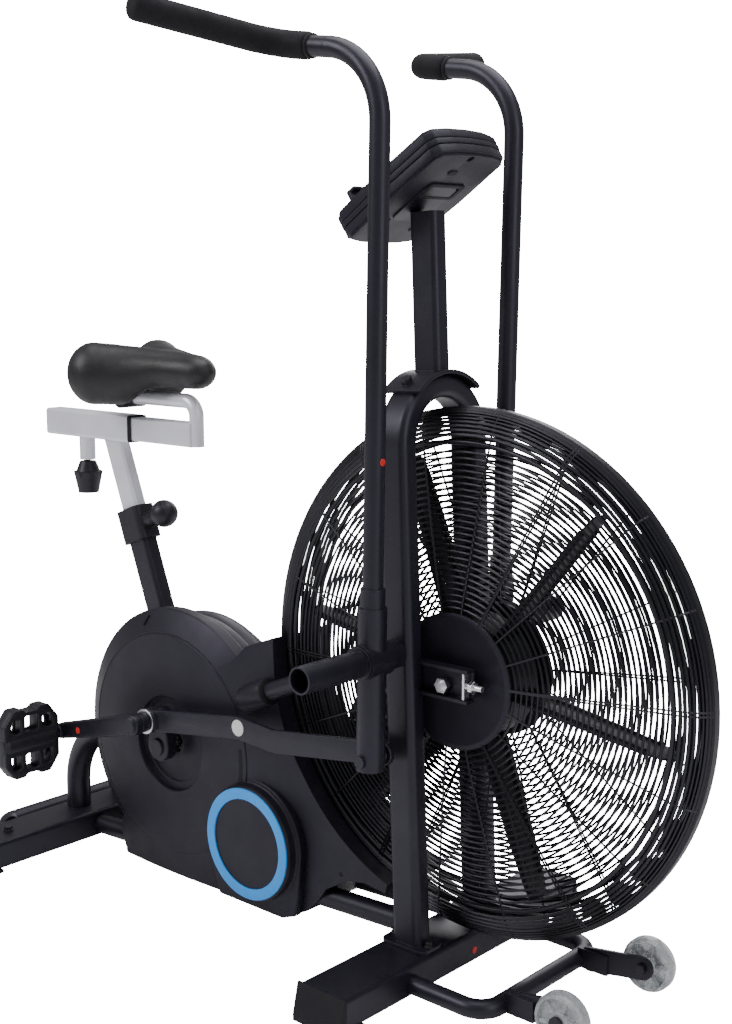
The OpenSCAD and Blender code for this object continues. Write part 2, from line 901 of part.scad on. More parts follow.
module right_crank() {
    color(satin_black) crank_arm(right_pin, [crank_x - crank_len, crank_z]);
}

module left_crank() {
    color(satin_black) mirror([0, 1, 0]) crank_arm(left_pin, [crank_x + crank_len, crank_z]);
}

// Cage pedal standing on edge, on the -Y side
module pedal(c) {
    difference() {
        union() {
            translate([c[0], -pedal_y, c[1]]) rotate([90, 0, 90]) translate([0, 0, -12])
                linear_extrude(24) difference() {
                    polygon([
                        [-pedal_w / 2, -30], [-pedal_w / 2 + 16, -pedal_len / 2],
                        [pedal_w / 2 - 16, -pedal_len / 2], [pedal_w / 2, -30],
                        [pedal_w / 2, 30], [pedal_w / 2 - 16, pedal_len / 2],
                        [-pedal_w / 2 + 16, pedal_len / 2], [-pedal_w / 2, 30]
                    ]);
                    for (s = [-1, 1], x = [-28, 0, 28])
                        translate([x * 0.92, s * 28]) square([20, 24], center = true);
                }
            rod_y(c[0], c[1], 15, -pedal_y - pedal_w / 2 + 4, -pedal_y + pedal_w / 2 + 2);
        }
        rod_y(c[0], c[1], spindle_r + run, -pedal_y - pedal_w / 2 + 7.5, -pedal_y + pedal_w);
    }
}

module right_pedal() {
    color(soft_black) pedal([crank_x - crank_len, crank_z]);
}

module left_pedal() {
    color(soft_black) mirror([0, 1, 0]) pedal([crank_x + crank_len, crank_z]);
}

// ---- links ----

module link(pin) {
    d = lever_bolt - pin;
    n = [-d[1], d[0]] / norm(d);
    half = link_h / 2;
    knee_a = pin + d * 0.42 + n * 7;
    knee_b = pin + d * 0.57 - n * 5;
    difference() {
        union() {
            along_y(-link_y - link_t, -link_y) {
                polygon([
                    pin + n * half, knee_a + n * half, knee_b + n * half, lever_bolt + n * (half - 1),
                    lever_bolt - n * (half - 1), knee_b - n * half, knee_a - n * half, pin - n * half
                ]);
                translate(lever_bolt) circle(r = half);
            }
            rod_y(pin[0], pin[1], eye_r, -113, -96);
        }
        rod_y(pin[0], pin[1], link_bore_r + run, -120, -90);
    }
    rod_y(lever_bolt[0], lever_bolt[1], 9, -link_y - link_t - 1.5, -link_y + 4);
}

module right_link() {
    color(satin_black) link(right_pin);
}

module left_link() {
    color(satin_black) mirror([0, 1, 0]) link(left_pin);
}

// ---- levers ----

// Places children in the lever's axes: z runs up the lever from the pivot
module lever_axes() {
    translate([pivot_x, -lever_y, pivot_z]) rotate([0, lever_lean, 0]) children();
}

handle_bend_r = 90;
handle_rise = (handle_bend_z - pivot_z) / cos(lever_lean);
grip_rise = 7.7;
handle_turn = 90 - grip_rise + lever_lean;
grip_roll = 6;
grip_lead = 32;
grip_straight = 20;
grip_bend_r = 50;
grip_turn = 77;
grip_reach = 154;

// Places children where the handle leaves its first bend: z runs on along the tube,
// and the second bend turns toward -y
module grip_axes() {
    lever_axes() translate([-handle_bend_r, 0, handle_rise]) rotate([0, -handle_turn, 0])
        translate([handle_bend_r, 0, 0]) rotate([0, 0, grip_roll]) children();
}

// Tube along the grip, from a point on its first straight to a point on its last;
// a ball at each end of the bend is a touch fatter than the tube
module grip_sweep(from, reach, d) {
    bend_start = grip_lead + grip_straight;
    translate([0, 0, from]) cylinder(d = d, h = bend_start - from - 0.5);
    translate([0, 0, bend_start]) sphere(d = d + 0.5);
    translate([0, -grip_bend_r, bend_start]) rotate([90, 0, 90])
        rotate_extrude(angle = grip_turn) translate([grip_bend_r, 0]) circle(d = d);
    translate([
        0,
        -grip_bend_r * (1 - cos(grip_turn)),
        bend_start + grip_bend_r * sin(grip_turn)
    ]) rotate([grip_turn, 0, 0]) {
        sphere(d = d + 0.5);
        translate([0, 0, 0.5]) cylinder(d = d, h = reach - 0.5);
    }
}

module lever() {
    lower = lever_arm + 14;
    difference() {
        union() {
            lever_axes() {
                translate([0, 0, -lower]) cylinder(r = lever_r, h = lower + 66);
                translate([0, 0, 66]) cylinder(r = 15.5, h = 24);
                translate([0, 0, 80]) cylinder(d = handle_d, h = handle_rise - 80);
                translate([-handle_bend_r, 0, handle_rise]) rotate([90, 0, 0])
                    rotate_extrude(angle = handle_turn)
                        translate([handle_bend_r, 0]) circle(d = handle_d);
            }
            grip_axes() {
                sphere(d = handle_d + 0.5);
                grip_sweep(0.5, grip_reach - 2, handle_d);
            }
            rod_y(pivot_x, pivot_z, hub_r, -lever_y - hub_half, -lever_y + hub_half);
            rod_y(lever_bolt[0], lever_bolt[1], 8, -lever_y - lever_r - 4, -lever_y + lever_r - 1);
        }
        rod_y(pivot_x, pivot_z, stub_r + run, -lever_y - 40, -lever_y + 40);
    }
}

module grip() {
    grip_axes() difference() {
        grip_sweep(grip_lead, grip_reach + 3, grip_d);
        grip_sweep(grip_lead - 2, grip_reach - 1.5, handle_d + 0.1);
    }
}

module right_lever() {
    color(satin_black) lever();
}

module left_lever() {
    color(satin_black) mirror([0, 1, 0]) lever();
}

module right_grip() {
    color(soft_black) grip();
}

module left_grip() {
    color(soft_black) mirror([0, 1, 0]) grip();
}

// Fixed axles that the levers turn on, welded to the legs
module lever_stubs() {
    leg_face = leg_y + leg_wide / 2;
    color(zinc) both_sides() {
        rod_y(pivot_x, pivot_z, stub_r, -lever_y - hub_half - 24, -leg_face);
        rod_y(pivot_x, pivot_z, 18, -lever_y + hub_half + gap, -leg_face);
    }
}

module foot_pegs() {
    start = lever_y + hub_half + gap;
    color(satin_black) both_sides() difference() {
        union() {
            rod_y(pivot_x, pivot_z, 21, -start - 4, -start);
            rod_y(pivot_x, pivot_z, peg_r, -peg_end, -start);
        }
        rod_y(pivot_x, pivot_z, stub_r + 0.02, -start - 24, -start + 1);
        rod_y(pivot_x, pivot_z, peg_r - 2.5, -peg_end - 1, -start - 23.7);
    }
}

// ---- drive between crank and fan ----

module jack_bracket() {
    color(satin_black) difference() {
        union() {
            both_sides() along_y(-22.8, -16.8) taper([jack[0], 46], 24, jack, 18);
            translate([jack[0] - 14, -24, 38]) cube([28, 48, 8]);
        }
        rod_y(jack[0], jack[1], jack_r + run, -60, 60);
    }
}

module jack_shaft() {
    color(zinc) {
        rod_y(jack[0], jack[1], jack_r, -50, second_y + 3);
        rod_y(jack[0], jack[1], jack_small_r, pulley_y - 5, pulley_y + 5);
        rod_y(jack[0], jack[1], jack_big_r, second_y - second_w / 2, second_y + second_w / 2);
    }
}

// ---- seat ----

module seat_collar() {
    color(soft_black) seat_axes() difference() {
        union() {
            translate([0, 0, collar_low]) linear_extrude(collar_high - collar_low)
                round_rect(tube_long + 12, tube_wide + 12, 10);
            translate([20, 0, 326]) rotate([0, 90, 0]) cylinder(r = 13, h = 22);
        }
        translate([0, 0, collar_low - 1]) linear_extrude(collar_high - collar_low - 3)
            round_rect(tube_long, tube_wide, 7);
        translate([0, 0, collar_high - 10]) linear_extrude(20)
            round_rect(post_long + 2 * gap, post_wide + 2 * gap, 5 + gap);
        translate([0, 0, 326]) rotate([0, 90, 0]) cylinder(r = 4.5, h = 60);
    }
}

// Spring pin with its ball-shaped knob
module post_knob() {
    color(soft_black) seat_axes() translate([0, 0, 326]) rotate([0, 90, 0]) {
        translate([0, 0, post_long / 2 + 0.5]) cylinder(r = 4.2, h = 40);
        translate([0, 0, 42.5]) cylinder(r1 = 13, r2 = 16, h = 10);
        translate([0, 0, 65]) sphere(r = 21);
    }
}

module seat_post() {
    top = slider_z + slider_h / 2;
    low = slider_z - slider_h / 2;
    color(silver) {
        difference() {
            union() {
                seat_axes() translate([0, 0, post_low]) linear_extrude(post_high - post_low + 6)
                    round_rect(post_long, post_wide, 5);
                translate([slider_front_x, 0, slider_z]) rotate([0, -90, 0])
                    linear_extrude(slider_back + slider_front_x) round_rect(slider_h, slider_w, 5);
                translate([slider_knob_x, 0, low - slider_neck]) cylinder(r = 12.5, h = slider_neck + 2);
            }
            translate([slider_front_x + 1, 0, slider_z]) rotate([0, -90, 0])
                linear_extrude(slider_back + slider_front_x - 2)
                    round_rect(bar_h + 2 * gap, bar_w + 2 * gap, 3 + gap);
            translate([slider_knob_x, 0, low - slider_neck - 2])
                cylinder(r = 4.2 + run, h = slider_neck + 12);
        }
    }
}

module seat_slider() {
    color(silver) {
        translate([bar_front_x, 0, slider_z]) rotate([0, -90, 0])
            linear_extrude(bar_front_x - bar_back_x) round_rect(bar_h, bar_w, 3);
        // Bent tube that carries the saddle
        bend = 22;
        x = bar_front_x;
        foot = slider_z - bar_h / 2 + 0.5;
        translate([x, 0, foot]) cylinder(r = arm_r, h = arm_z - bend - foot);
        translate([x - bend, 0, arm_z - bend]) rotate([90, 0, 0])
            rotate_extrude(angle = 90) translate([bend, 0]) circle(r = arm_r);
        translate([x - bend, 0, arm_z]) rotate([0, -90, 0]) cylinder(r = arm_r, h = x - bend - arm_back_x);
    }
}

module slider_knob() {
    top = slider_z - slider_h / 2 - slider_neck - 3;
    color(soft_black) translate([slider_knob_x, 0, 0]) {
        translate([0, 0, top - 5]) cylinder(r = 4.2, h = slider_neck + 7);
        difference() {
            translate([0, 0, top - 50]) cylinder(r1 = 16, r2 = 23, h = 34);
            for (i = [0 : 7])
                rotate([0, 0, i * 45 + 22.5]) translate([26, 0, top - 52]) cylinder(r = 5, h = 38);
        }
        translate([0, 0, top - 16]) cylinder(r1 = 19, r2 = 13, h = 16);
    }
}

module saddle_clamp() {
    x = -408;
    color(soft_black) difference() {
        union() {
            along_y(-22, 22) translate([x, arm_z]) circle(r = 17);
            both_sides() rod_y(x, arm_z - 3, 9, -28, -20);
            translate([x - 17, -22, arm_z + 2]) cube([34, 44, 16]);
        }
        translate([x - 30, 0, arm_z]) rotate([0, 90, 0]) cylinder(r = arm_r, h = 60);
    }
}

module saddle() {
    back = -486;
    mid_z = saddle_z + 35;
    lobe = 44;
    color(soft_black) difference() {
        union() {
            // Wide rear pad
            hull() both_sides() {
                translate([back + lobe, -saddle_w / 2 + lobe + 6, mid_z]) sphere(r = lobe, $fn = 32);
                translate([back + 100, -saddle_w / 2 + 42, mid_z - 15]) sphere(r = 34, $fn = 32);
            }
            // Nose
            hull() {
                translate([back + 86, 0, mid_z - 8]) sphere(r = 42, $fn = 32);
                translate([back + saddle_len + 13 - 27, 0, mid_z - 10]) sphere(r = 27, $fn = 32);
            }
        }
        // Hollow over the saddle tube and its clamp
        translate([back - 20, -32, 600]) cube([saddle_len, 64, arm_z + 19 - 600]);
    }
}

base_rails();
rear_uprights();
seat_tube();
upper_stays();
fork_arch();
front_stabilizer();
rear_stabilizer();
end_caps();
rear_rail();
wheel_bar();
frame_bolts();
console_mast();
console_back();
console_front();
console_screen();
right_cover();
left_cover();
right_badge();
badge_ring();
cover_screws();
belt_guard();
cage_right();
cage_left();
cage_band();
hub_discs();
fan_axle();
axle_brackets();
axle_tensioners();
lever_stubs();
foot_pegs();
seat_collar();
bottom_bearings();
jack_bracket();
first_belt();
second_belt();
crank_axle();
drive_pulley();
right_crank();
left_crank();
right_pedal();
left_pedal();
right_link();
left_link();
right_lever();
right_grip();
left_lever();
left_grip();
fan_rotor();
fan_hub();
jack_shaft();
seat_post();
seat_slider();
saddle();
saddle_clamp();
post_knob();
slider_knob();
right_wheel();
left_wheel();
left_button();
right_button();
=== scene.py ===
"""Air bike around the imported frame. Lengths below are in millimetres; add() turns them into metres."""

import bmesh
import bpy
import json
import math
from mathutils import Matrix, Vector


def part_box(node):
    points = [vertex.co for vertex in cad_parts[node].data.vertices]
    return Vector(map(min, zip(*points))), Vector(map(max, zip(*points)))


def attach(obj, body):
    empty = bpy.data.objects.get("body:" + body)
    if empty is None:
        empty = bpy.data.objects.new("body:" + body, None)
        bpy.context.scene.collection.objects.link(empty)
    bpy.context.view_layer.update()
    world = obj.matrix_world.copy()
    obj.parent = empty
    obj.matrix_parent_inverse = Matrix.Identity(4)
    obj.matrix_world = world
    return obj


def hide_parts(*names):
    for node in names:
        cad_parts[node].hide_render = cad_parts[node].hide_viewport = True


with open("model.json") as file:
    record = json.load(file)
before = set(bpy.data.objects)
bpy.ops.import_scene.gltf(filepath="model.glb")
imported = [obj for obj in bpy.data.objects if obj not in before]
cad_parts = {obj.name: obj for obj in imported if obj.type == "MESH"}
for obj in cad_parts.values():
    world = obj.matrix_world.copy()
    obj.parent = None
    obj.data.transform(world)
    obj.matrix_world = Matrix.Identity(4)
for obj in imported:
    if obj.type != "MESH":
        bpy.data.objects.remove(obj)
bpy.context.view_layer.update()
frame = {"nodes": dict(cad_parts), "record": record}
MM = 0.001

# Places in the row frame, in millimetres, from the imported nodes
def middle(node):
    lo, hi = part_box(node)
    return [(lo[i] + hi[i]) * 500 for i in range(3)]


FAN = (middle("fan_hub")[0], middle("fan_hub")[2])
CRANK = (middle("crank_axle")[0], middle("crank_axle")[2])
JACK = (middle("right_badge")[0], middle("right_badge")[2])
WHEEL = middle("right_wheel")
CAGE_R = (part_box("cage_band")[1][0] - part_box("cage_band")[0][0]) * 500
CRANK_ARM = 170
LINK_THROW = 44
PEDAL_Y = 200
WHEEL_Y = 96
LINK_BOLT = (199.67, 305.02)
LEVER_PIVOT = (202, -130, 431)
SEAT_LEAN = 20.9
SEAT_FOOT = -27
BAR_SLEEVE = (-398, 664)
CONSOLE_AT = (165.4, 0, 1003.5)
CONSOLE_TILT = 32.8


# ---------------------------------------------------------------- mesh helpers
def add(name, verts, faces, angle=38, smooth=True):
    """A mesh object from millimetre points."""
    me = bpy.data.meshes.new(name)
    me.from_pydata([[c * MM for c in v] for v in verts], [], faces)
    me.validate()
    bm = bmesh.new()
    bm.from_mesh(me)
    bmesh.ops.remove_doubles(bm, verts=bm.verts, dist=1e-6)
    bmesh.ops.recalc_face_normals(bm, faces=bm.faces)
    bm.to_mesh(me)
    bm.free()
    if smooth:
        me.shade_smooth()
        me.set_sharp_from_angle(angle=math.radians(angle))
    ob = bpy.data.objects.new(name, me)
    bpy.context.scene.collection.objects.link(ob)
    return ob


def merge(*parts):
    """Several (verts, faces) lists as one."""
    verts, faces = [], []
    for v, f in parts:
        n = len(verts)
        verts += [tuple(p) for p in v]
        faces += [tuple(i + n for i in q) for q in f]
    return verts, faces


def moved(part, matrix):
    v, f = part
    return [tuple(matrix @ Vector(p)) for p in v], f


def tube(path, r, sides=8, closed=False, radii=None):
    """A round tube along 3-D points; radii can give one radius per point."""
    pts = [Vector(p) for p in path]
    n = len(pts)
    tangents = []
    for i in range(n):
        a = pts[(i - 1) % n] if closed or i else pts[0]
        b = pts[(i + 1) % n] if closed or i < n - 1 else pts[-1]
        tangents.append((b - a).normalized())
    normal = tangents[0].orthogonal().normalized()
    frames = []
    for i in range(n):
        if i:
            normal = normal - tangents[i] * normal.dot(tangents[i])
            normal.normalize()
        frames.append((normal.copy(), tangents[i].cross(normal)))
    verts, faces = [], []
    for i in range(n):
        rr = radii[i] if radii else r
        for k in range(sides):
            t = 2 * math.pi * k / sides
            verts.append(pts[i] + frames[i][0] * (rr * math.cos(t)) + frames[i][1] * (rr * math.sin(t)))
    loops = n if closed else n - 1
    for i in range(loops):
        j = (i + 1) % n
        shift = 0
        if closed and j == 0:
            want = verts[0] - pts[0]
            shift = min(
                range(sides),
                key=lambda s: (
                    frames[i][0] * math.cos(
                        2 * math.pi * s / sides
                    ) + frames[i][1] * math.sin(2 * math.pi * s / sides) - want.normalized()
                ).length
            )
        for k in range(sides):
            a, b = i * sides + (k + shift) % sides, i * sides + (k + 1 + shift) % sides
            faces.append((a, b, j * sides + (k + 1) % sides, j * sides + k))
    if not closed:
        faces.append(tuple(range(sides)))
        faces.append(tuple((n - 1) * sides + k for k in range(sides - 1, -1, -1)))
    return verts, faces


def ring(cx, cz, r, y, wire, n=72, sides=6):
    """A closed wire ring about the Y direction."""
    verts, faces = [], []
    for i in range(n):
        t = 2 * math.pi * i / n
        for k in range(sides):
            u = 2 * math.pi * (k + 0.5) / sides
            rr = r + wire * math.cos(u)
            verts.append((cx + rr * math.cos(t), y + wire * math.sin(u), cz + rr * math.sin(t)))
    for i in range(n):
        j = (i + 1) % n
        for k in range(sides):
            l = (k + 1) % sides
            faces.append((i * sides + k, j * sides + k, j * sides + l, i * sides + l))
    return verts, faces


def lathe(profile, cx, cz, n=96, a0=0.0, a1=360.0):
    """Turns a closed outline of (radius, y) about the Y direction."""
    full = abs(a1 - a0 - 360) < 1e-6
    steps = n if full else n + 1
    m = len(profile)
    verts, faces = [], []
    for i in range(steps):
        t = math.radians(a0 + (a1 - a0) * i / n)
        for r, y in profile:
            verts.append((cx + r * math.cos(t), y, cz + r * math.sin(t)))
    for i in range(n):
        j = (i + 1) % steps
        for k in range(m):
            l = (k + 1) % m
            faces.append((i * m + k, j * m + k, j * m + l, i * m + l))
    if not full:
        faces.append(tuple(range(m)))
        faces.append(tuple((steps - 1) * m + k for k in range(m - 1, -1, -1)))
    return verts, faces


def fillet(points, radius, n=4):
    """Rounds the corners of a closed 2-D outline; radius can be one number or one for each corner."""
    out = []
    m = len(points)
    for i in range(m):
        p0, p1, p2 = (Vector(points[(i + d) % m]) for d in (-1, 0, 1))
        r = radius[i] if isinstance(radius, (list, tuple)) else radius
        a, b = p0 - p1, p2 - p1
        la, lb = a.length, b.length
        if r <= 0 or la < 1e-6 or lb < 1e-6:
            out.append(tuple(p1))
            continue
        a.normalize()
        b.normalize()
        half = math.acos(max(-1, min(1, a.dot(b)))) / 2
        if half > math.radians(88):
            out.append(tuple(p1))
            continue
        d = min(r / math.tan(half), la * 0.48, lb * 0.48)
        for k in range(n + 1):
            t = k / n
            q = (p1 + a * d) * (1 - t) ** 2 + p1 * (2 * t * (1 - t)) + (p1 + b * d) * t**2
            out.append(tuple(q))
    return out


def arc(cx, cz, r, a0, a1, n=16):
    return [
        (
            cx + r * math.cos(math.radians(a0 + (a1 - a0) * i / n)),
            cz + r * math.sin(math.radians(a0 + (a1 - a0) * i / n))
        ) for i in range(n + 1)
    ]


def plate(outlines, thick, bevel=1.5, steps=2):
    """A flat plate with rounded edges, centred on z = 0: the first outline is the outside, the rest are holes."""
    cu = bpy.data.curves.new("tmp", "CURVE")
    cu.dimensions = "2D"
    cu.fill_mode = "BOTH"
    cu.extrude = thick / 2 - bevel
    cu.bevel_depth = bevel
    cu.bevel_resolution = steps
    cu.offset = -bevel
    for pts in outlines:
        sp = cu.splines.new("POLY")
        sp.points.add(len(pts) - 1)
        for p, q in zip(sp.points, pts):
            p.co = (q[0], q[1], 0, 1)
        sp.use_cyclic_u = True
    ob = bpy.data.objects.new("tmp", cu)
    bpy.context.scene.collection.objects.link(ob)
    bpy.context.view_layer.update()
    me = bpy.data.meshes.new_from_object(ob.evaluated_get(bpy.context.evaluated_depsgraph_get()))
    part = [tuple(v.co) for v in me.vertices], [tuple(p.vertices) for p in me.polygons]
    bpy.data.objects.remove(ob)
    bpy.data.curves.remove(cu)
    bpy.data.meshes.remove(me)
    return part


# Plate drawn in x and z, standing across Y


def upright_plate(outlines, y0, y1, bevel=1.5, steps=2):
    v, f = plate(outlines, abs(y1 - y0), bevel, steps)
    mid = (y0 + y1) / 2
    return [(x, mid - z, y) for x, y, z in v], f


def taper(a, ra, b, rb, n=14):
    """Outline of a bar that tapers from one round end to another."""
    a, b = Vector(a), Vector(b)
    d = b - a
    th = math.atan2(d.y, d.x)
    be = math.acos((ra - rb) / d.length)
    out = []
    for i in range(n + 1):
        t = th + be + i * (2 * math.pi - 2 * be) / n
        out.append((a.x + ra * math.cos(t), a.y + ra * math.sin(t)))
    for i in range(n + 1):
        t = th - be + i * 2 * be / n
        out.append((b.x + rb * math.cos(t), b.y + rb * math.sin(t)))
    return out


def circle(cx, cz, r, n=32):
    return [(cx + r * math.cos(2 * math.pi * i / n), cz + r * math.sin(2 * math.pi * i / n)) for i in range(n)]


def rounded(w, h, r, n=5):
    return fillet([(-w / 2, -h / 2), (w / 2, -h / 2), (w / 2, h / 2), (-w / 2, h / 2)], r, n)


def disc_y(cx, cz, r, y0, y1, n=48, edge=1.0):
    """A turned disc or stud about Y with a small chamfer at both ends."""
    s = 1 if y1 > y0 else -1
    return lathe(
        [(0.01, y0), (r - edge, y0), (r, y0 + s * edge), (r, y1 - s * edge), (r - edge, y1), (0.01, y1)], cx, cz, n
    )


# ---------------------------------------------------------------- materials
def new_material(name):
    mat = bpy.data.materials.new(name)
    mat.use_nodes = True
    nodes, links = mat.node_tree.nodes, mat.node_tree.links
    return mat, nodes, links, nodes["Principled BSDF"]


def noise(nodes, links, scale, detail=2.0, rough=0.5, coords="Object"):
    tc = nodes.new("ShaderNodeTexCoord")
    tex = nodes.new("ShaderNodeTexNoise")
    tex.inputs["Scale"].default_value = scale
    tex.inputs["Detail"].default_value = detail
    tex.inputs["Roughness"].default_value = rough
    links.new(tc.outputs[coords], tex.inputs["Vector"])
    return tex


def ramp(nodes, links, source, stops):
    node = nodes.new("ShaderNodeValToRGB")
    els = node.color_ramp.elements
    els[0].position, els[0].color = stops[0][0], (*stops[0][1], 1)
    els[1].position, els[1].color = stops[-1][0], (*stops[-1][1], 1)
    for pos, col in stops[1:-1]:
        el = els.new(pos)
        el.color = (*col, 1)
    links.new(source, node.inputs["Fac"])
    return node


def bump(nodes, links, height, strength, distance, bevel=0.0, base=None):
    node = nodes.new("ShaderNodeBump")
    node.inputs["Strength"].default_value = strength
    node.inputs["Distance"].default_value = distance
    links.new(height, node.inputs["Height"])
    if bevel:
        bev = nodes.new("ShaderNodeBevel")
        bev.samples = 4
        bev.inputs["Radius"].default_value = bevel
        links.new(bev.outputs["Normal"], node.inputs["Normal"])
    return node


def finish(
    name, color, rough, fine=(900, 0.12, 0.0002), broad=(9, 0.25), metallic=0.0, bevel=0.0012, coat=0.0, spec=0.5,
    tint=(0.86, 0.83, 1.0)
):
    """A moulded, painted or cast surface: broad tone changes, uneven gloss and a fine grain."""
    mat, nodes, links, bsdf = new_material(name)
    wide = noise(nodes, links, broad[0], 3.0)
    lo = tuple(c * (1 - broad[1]) for c in color)
    hi = tuple(min(1, c * (1 + broad[1])) for c in color)
    tone = ramp(nodes, links, wide.outputs["Fac"], [(0.3, lo), (0.7, hi)])
    links.new(tone.outputs["Color"], bsdf.inputs["Base Color"])
    gloss = ramp(
        nodes, links, noise(nodes, links, broad[0] * 3.1, 4.0).outputs["Fac"],
        [(0.25, (rough * 0.88,) * 3), (0.75, (min(1, rough * 1.14),) * 3)]
    )
    links.new(gloss.outputs["Color"], bsdf.inputs["Roughness"])
    grain = noise(nodes, links, fine[0], 2.0, 0.6)
    links.new(
        bump(nodes, links, grain.outputs["Fac"], fine[1], fine[2], bevel).outputs["Normal"], bsdf.inputs["Normal"]
    )
    bsdf.inputs["Metallic"].default_value = metallic
    bsdf.inputs["Specular IOR Level"].default_value = spec
    bsdf.inputs["Specular Tint"].default_value = (*tint, 1)
    bsdf.inputs["Coat Weight"].default_value = coat
    bsdf.inputs["Coat Roughness"].default_value = 0.2
    return mat


BLACK = (0.0080, 0.0070, 0.0125)
MATS = {
    "frame_paint": finish("powder_coat", BLACK, 0.40, fine=(1400, 0.16, 0.0002), spec=0.5),
    "shell": finish("moulded_shell", (0.0085, 0.0074, 0.0135), 0.46, fine=(2200, 0.22, 0.0002), spec=0.42),
    "rubber": finish("black_rubber", (0.009, 0.009, 0.010), 0.62, fine=(800, 0.2, 0.0003), spec=0.3),
    "foam": finish(
        "grip_foam", (0.0105, 0.0100, 0.0108), 0.72, fine=(1100, 0.3, 0.0003), broad=(24, 0.18), spec=0.25, bevel=0.0
    ),
    "black_steel": finish("black_steel", (0.012, 0.012, 0.013), 0.38, spec=0.5),
    "wire": finish("coated_wire", (0.006, 0.006, 0.007), 0.34, fine=(500, 0.1, 0.0002), bevel=0.0),
    "blade": finish("blade_paint", (0.010, 0.010, 0.012), 0.46),
    "zinc": finish("zinc_steel", (0.74, 0.74, 0.76), 0.27, fine=(700, 0.15, 0.0002), metallic=1.0, tint=(1, 1, 1)),
    "silver_paint": finish(
        "silver_paint", (0.86, 0.86, 0.93), 0.34, fine=(1800, 0.2, 0.0002), broad=(14, 0.06), metallic=0.35,
        tint=(1, 1, 1)
    ),
    "knob": finish("knob_plastic", (0.011, 0.011, 0.013), 0.42, fine=(1300, 0.2, 0.0002)),
    "belt": finish("belt_rubber", (0.012, 0.012, 0.012), 0.7),
    "pedal": finish("pedal_plastic", (0.0085, 0.0085, 0.0095), 0.46, fine=(1500, 0.3, 0.0002)),
    "screen": finish("screen_window", (0.10, 0.12, 0.11), 0.12, fine=(60, 0.02, 0.0001), coat=0.6),
    "button": finish("button_plastic", (0.12, 0.12, 0.13), 0.5),
    "blue": finish("blue_ring", (0.02, 0.34, 0.95), 0.3, fine=(1600, 0.08, 0.0001), broad=(12, 0.07), tint=(1, 1, 1)),
    "red": finish("red_plug", (0.65, 0.03, 0.02), 0.35, broad=(40, 0.1)),
    "white": finish("white_disc", (0.74, 0.72, 0.73), 0.45, broad=(60, 0.06)),
}


def translucent_wheel():
    mat, nodes, links, bsdf = new_material("clear_wheel")
    cloud = noise(nodes, links, 55, 5.0, 0.65)
    tone = ramp(
        nodes, links, cloud.outputs["Fac"],
        [(0.3, (0.52, 0.55, 0.58)), (0.55, (0.72, 0.74, 0.76)), (0.75, (0.90, 0.91, 0.92))]
    )
    links.new(tone.outputs["Color"], bsdf.inputs["Base Color"])
    rough = ramp(nodes, links, noise(nodes, links, 120, 3.0).outputs["Fac"], [(0.3, (0.16,) * 3), (0.7, (0.34,) * 3)])
    links.new(rough.outputs["Color"], bsdf.inputs["Roughness"])
    links.new(bump(nodes, links, cloud.outputs["Fac"], 0.35, 0.001).outputs["Normal"], bsdf.inputs["Normal"])
    bsdf.inputs["Transmission Weight"].default_value = 0.55
    bsdf.inputs["IOR"].default_value = 1.46
    return mat


def vinyl():
    mat, nodes, links, bsdf = new_material("saddle_vinyl")
    tc = nodes.new("ShaderNodeTexCoord")
    cells = nodes.new("ShaderNodeTexVoronoi")
    cells.feature = "DISTANCE_TO_EDGE"
    cells.inputs["Scale"].default_value = 620
    links.new(tc.outputs["Object"], cells.inputs["Vector"])
    creases = noise(nodes, links, 46, 5.0, 0.6)
    tone = ramp(
        nodes, links, noise(nodes, links, 18, 3.0).outputs["Fac"],
        [(0.3, (0.0070, 0.0066, 0.0085)), (0.7, (0.0110, 0.0104, 0.0135))]
    )
    links.new(tone.outputs["Color"], bsdf.inputs["Base Color"])
    rough = ramp(nodes, links, creases.outputs["Fac"], [(0.3, (0.36,) * 3), (0.7, (0.5,) * 3)])
    links.new(rough.outputs["Color"], bsdf.inputs["Roughness"])
    pebble = bump(nodes, links, cells.outputs["Distance"], 0.35, 0.0006)
    wide = bump(nodes, links, creases.outputs["Fac"], 0.12, 0.002)
    links.new(wide.outputs["Normal"], pebble.inputs["Normal"])
    links.new(pebble.outputs["Normal"], bsdf.inputs["Normal"])
    return mat


MATS["wheel"] = translucent_wheel()
MATS["saddle"] = vinyl()


def place(ob, body, slot, mat=None, replaces=()):
    ob.data.materials.clear()
    ob.data.materials.append(MATS[mat or slot])
    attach(ob, body)
    if replaces:
        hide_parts(*replaces)
    return ob


# CAD nodes that stay get the material of their slot
SLOT_OF = {s["node"]: s["material_slot"] for s in frame["record"]["subparts"]}
for node_name, node_ob in frame["nodes"].items():
    node_ob.data.materials.clear()
    node_ob.data.materials.append(MATS[SLOT_OF[node_name]])
for node_name in ("axle_brackets", "lever_stubs"):
    frame["nodes"][node_name].data.materials.clear()
    frame["nodes"][node_name].data.materials.append(MATS["frame_paint"])


# ---------------------------------------------------------------- fan cage
DISC_R = 86.0
DISC_Y = 44.0
FACE_R = 298.0
FACE_Y = 24.0


def face_y(r):
    t = max(0.0, min(1.0, (r - DISC_R) / (FACE_R - DISC_R)))
    return DISC_Y + (FACE_Y - DISC_Y) * t**1.25


def shoulder(t):
    """A point of the rounded rim, from the face (t = 0) to the middle of the rim (t = 1)."""
    a = t * math.pi / 2
    return FACE_R + (CAGE_R - 2.2 - FACE_R) * math.sin(a), FACE_Y * math.cos(a)


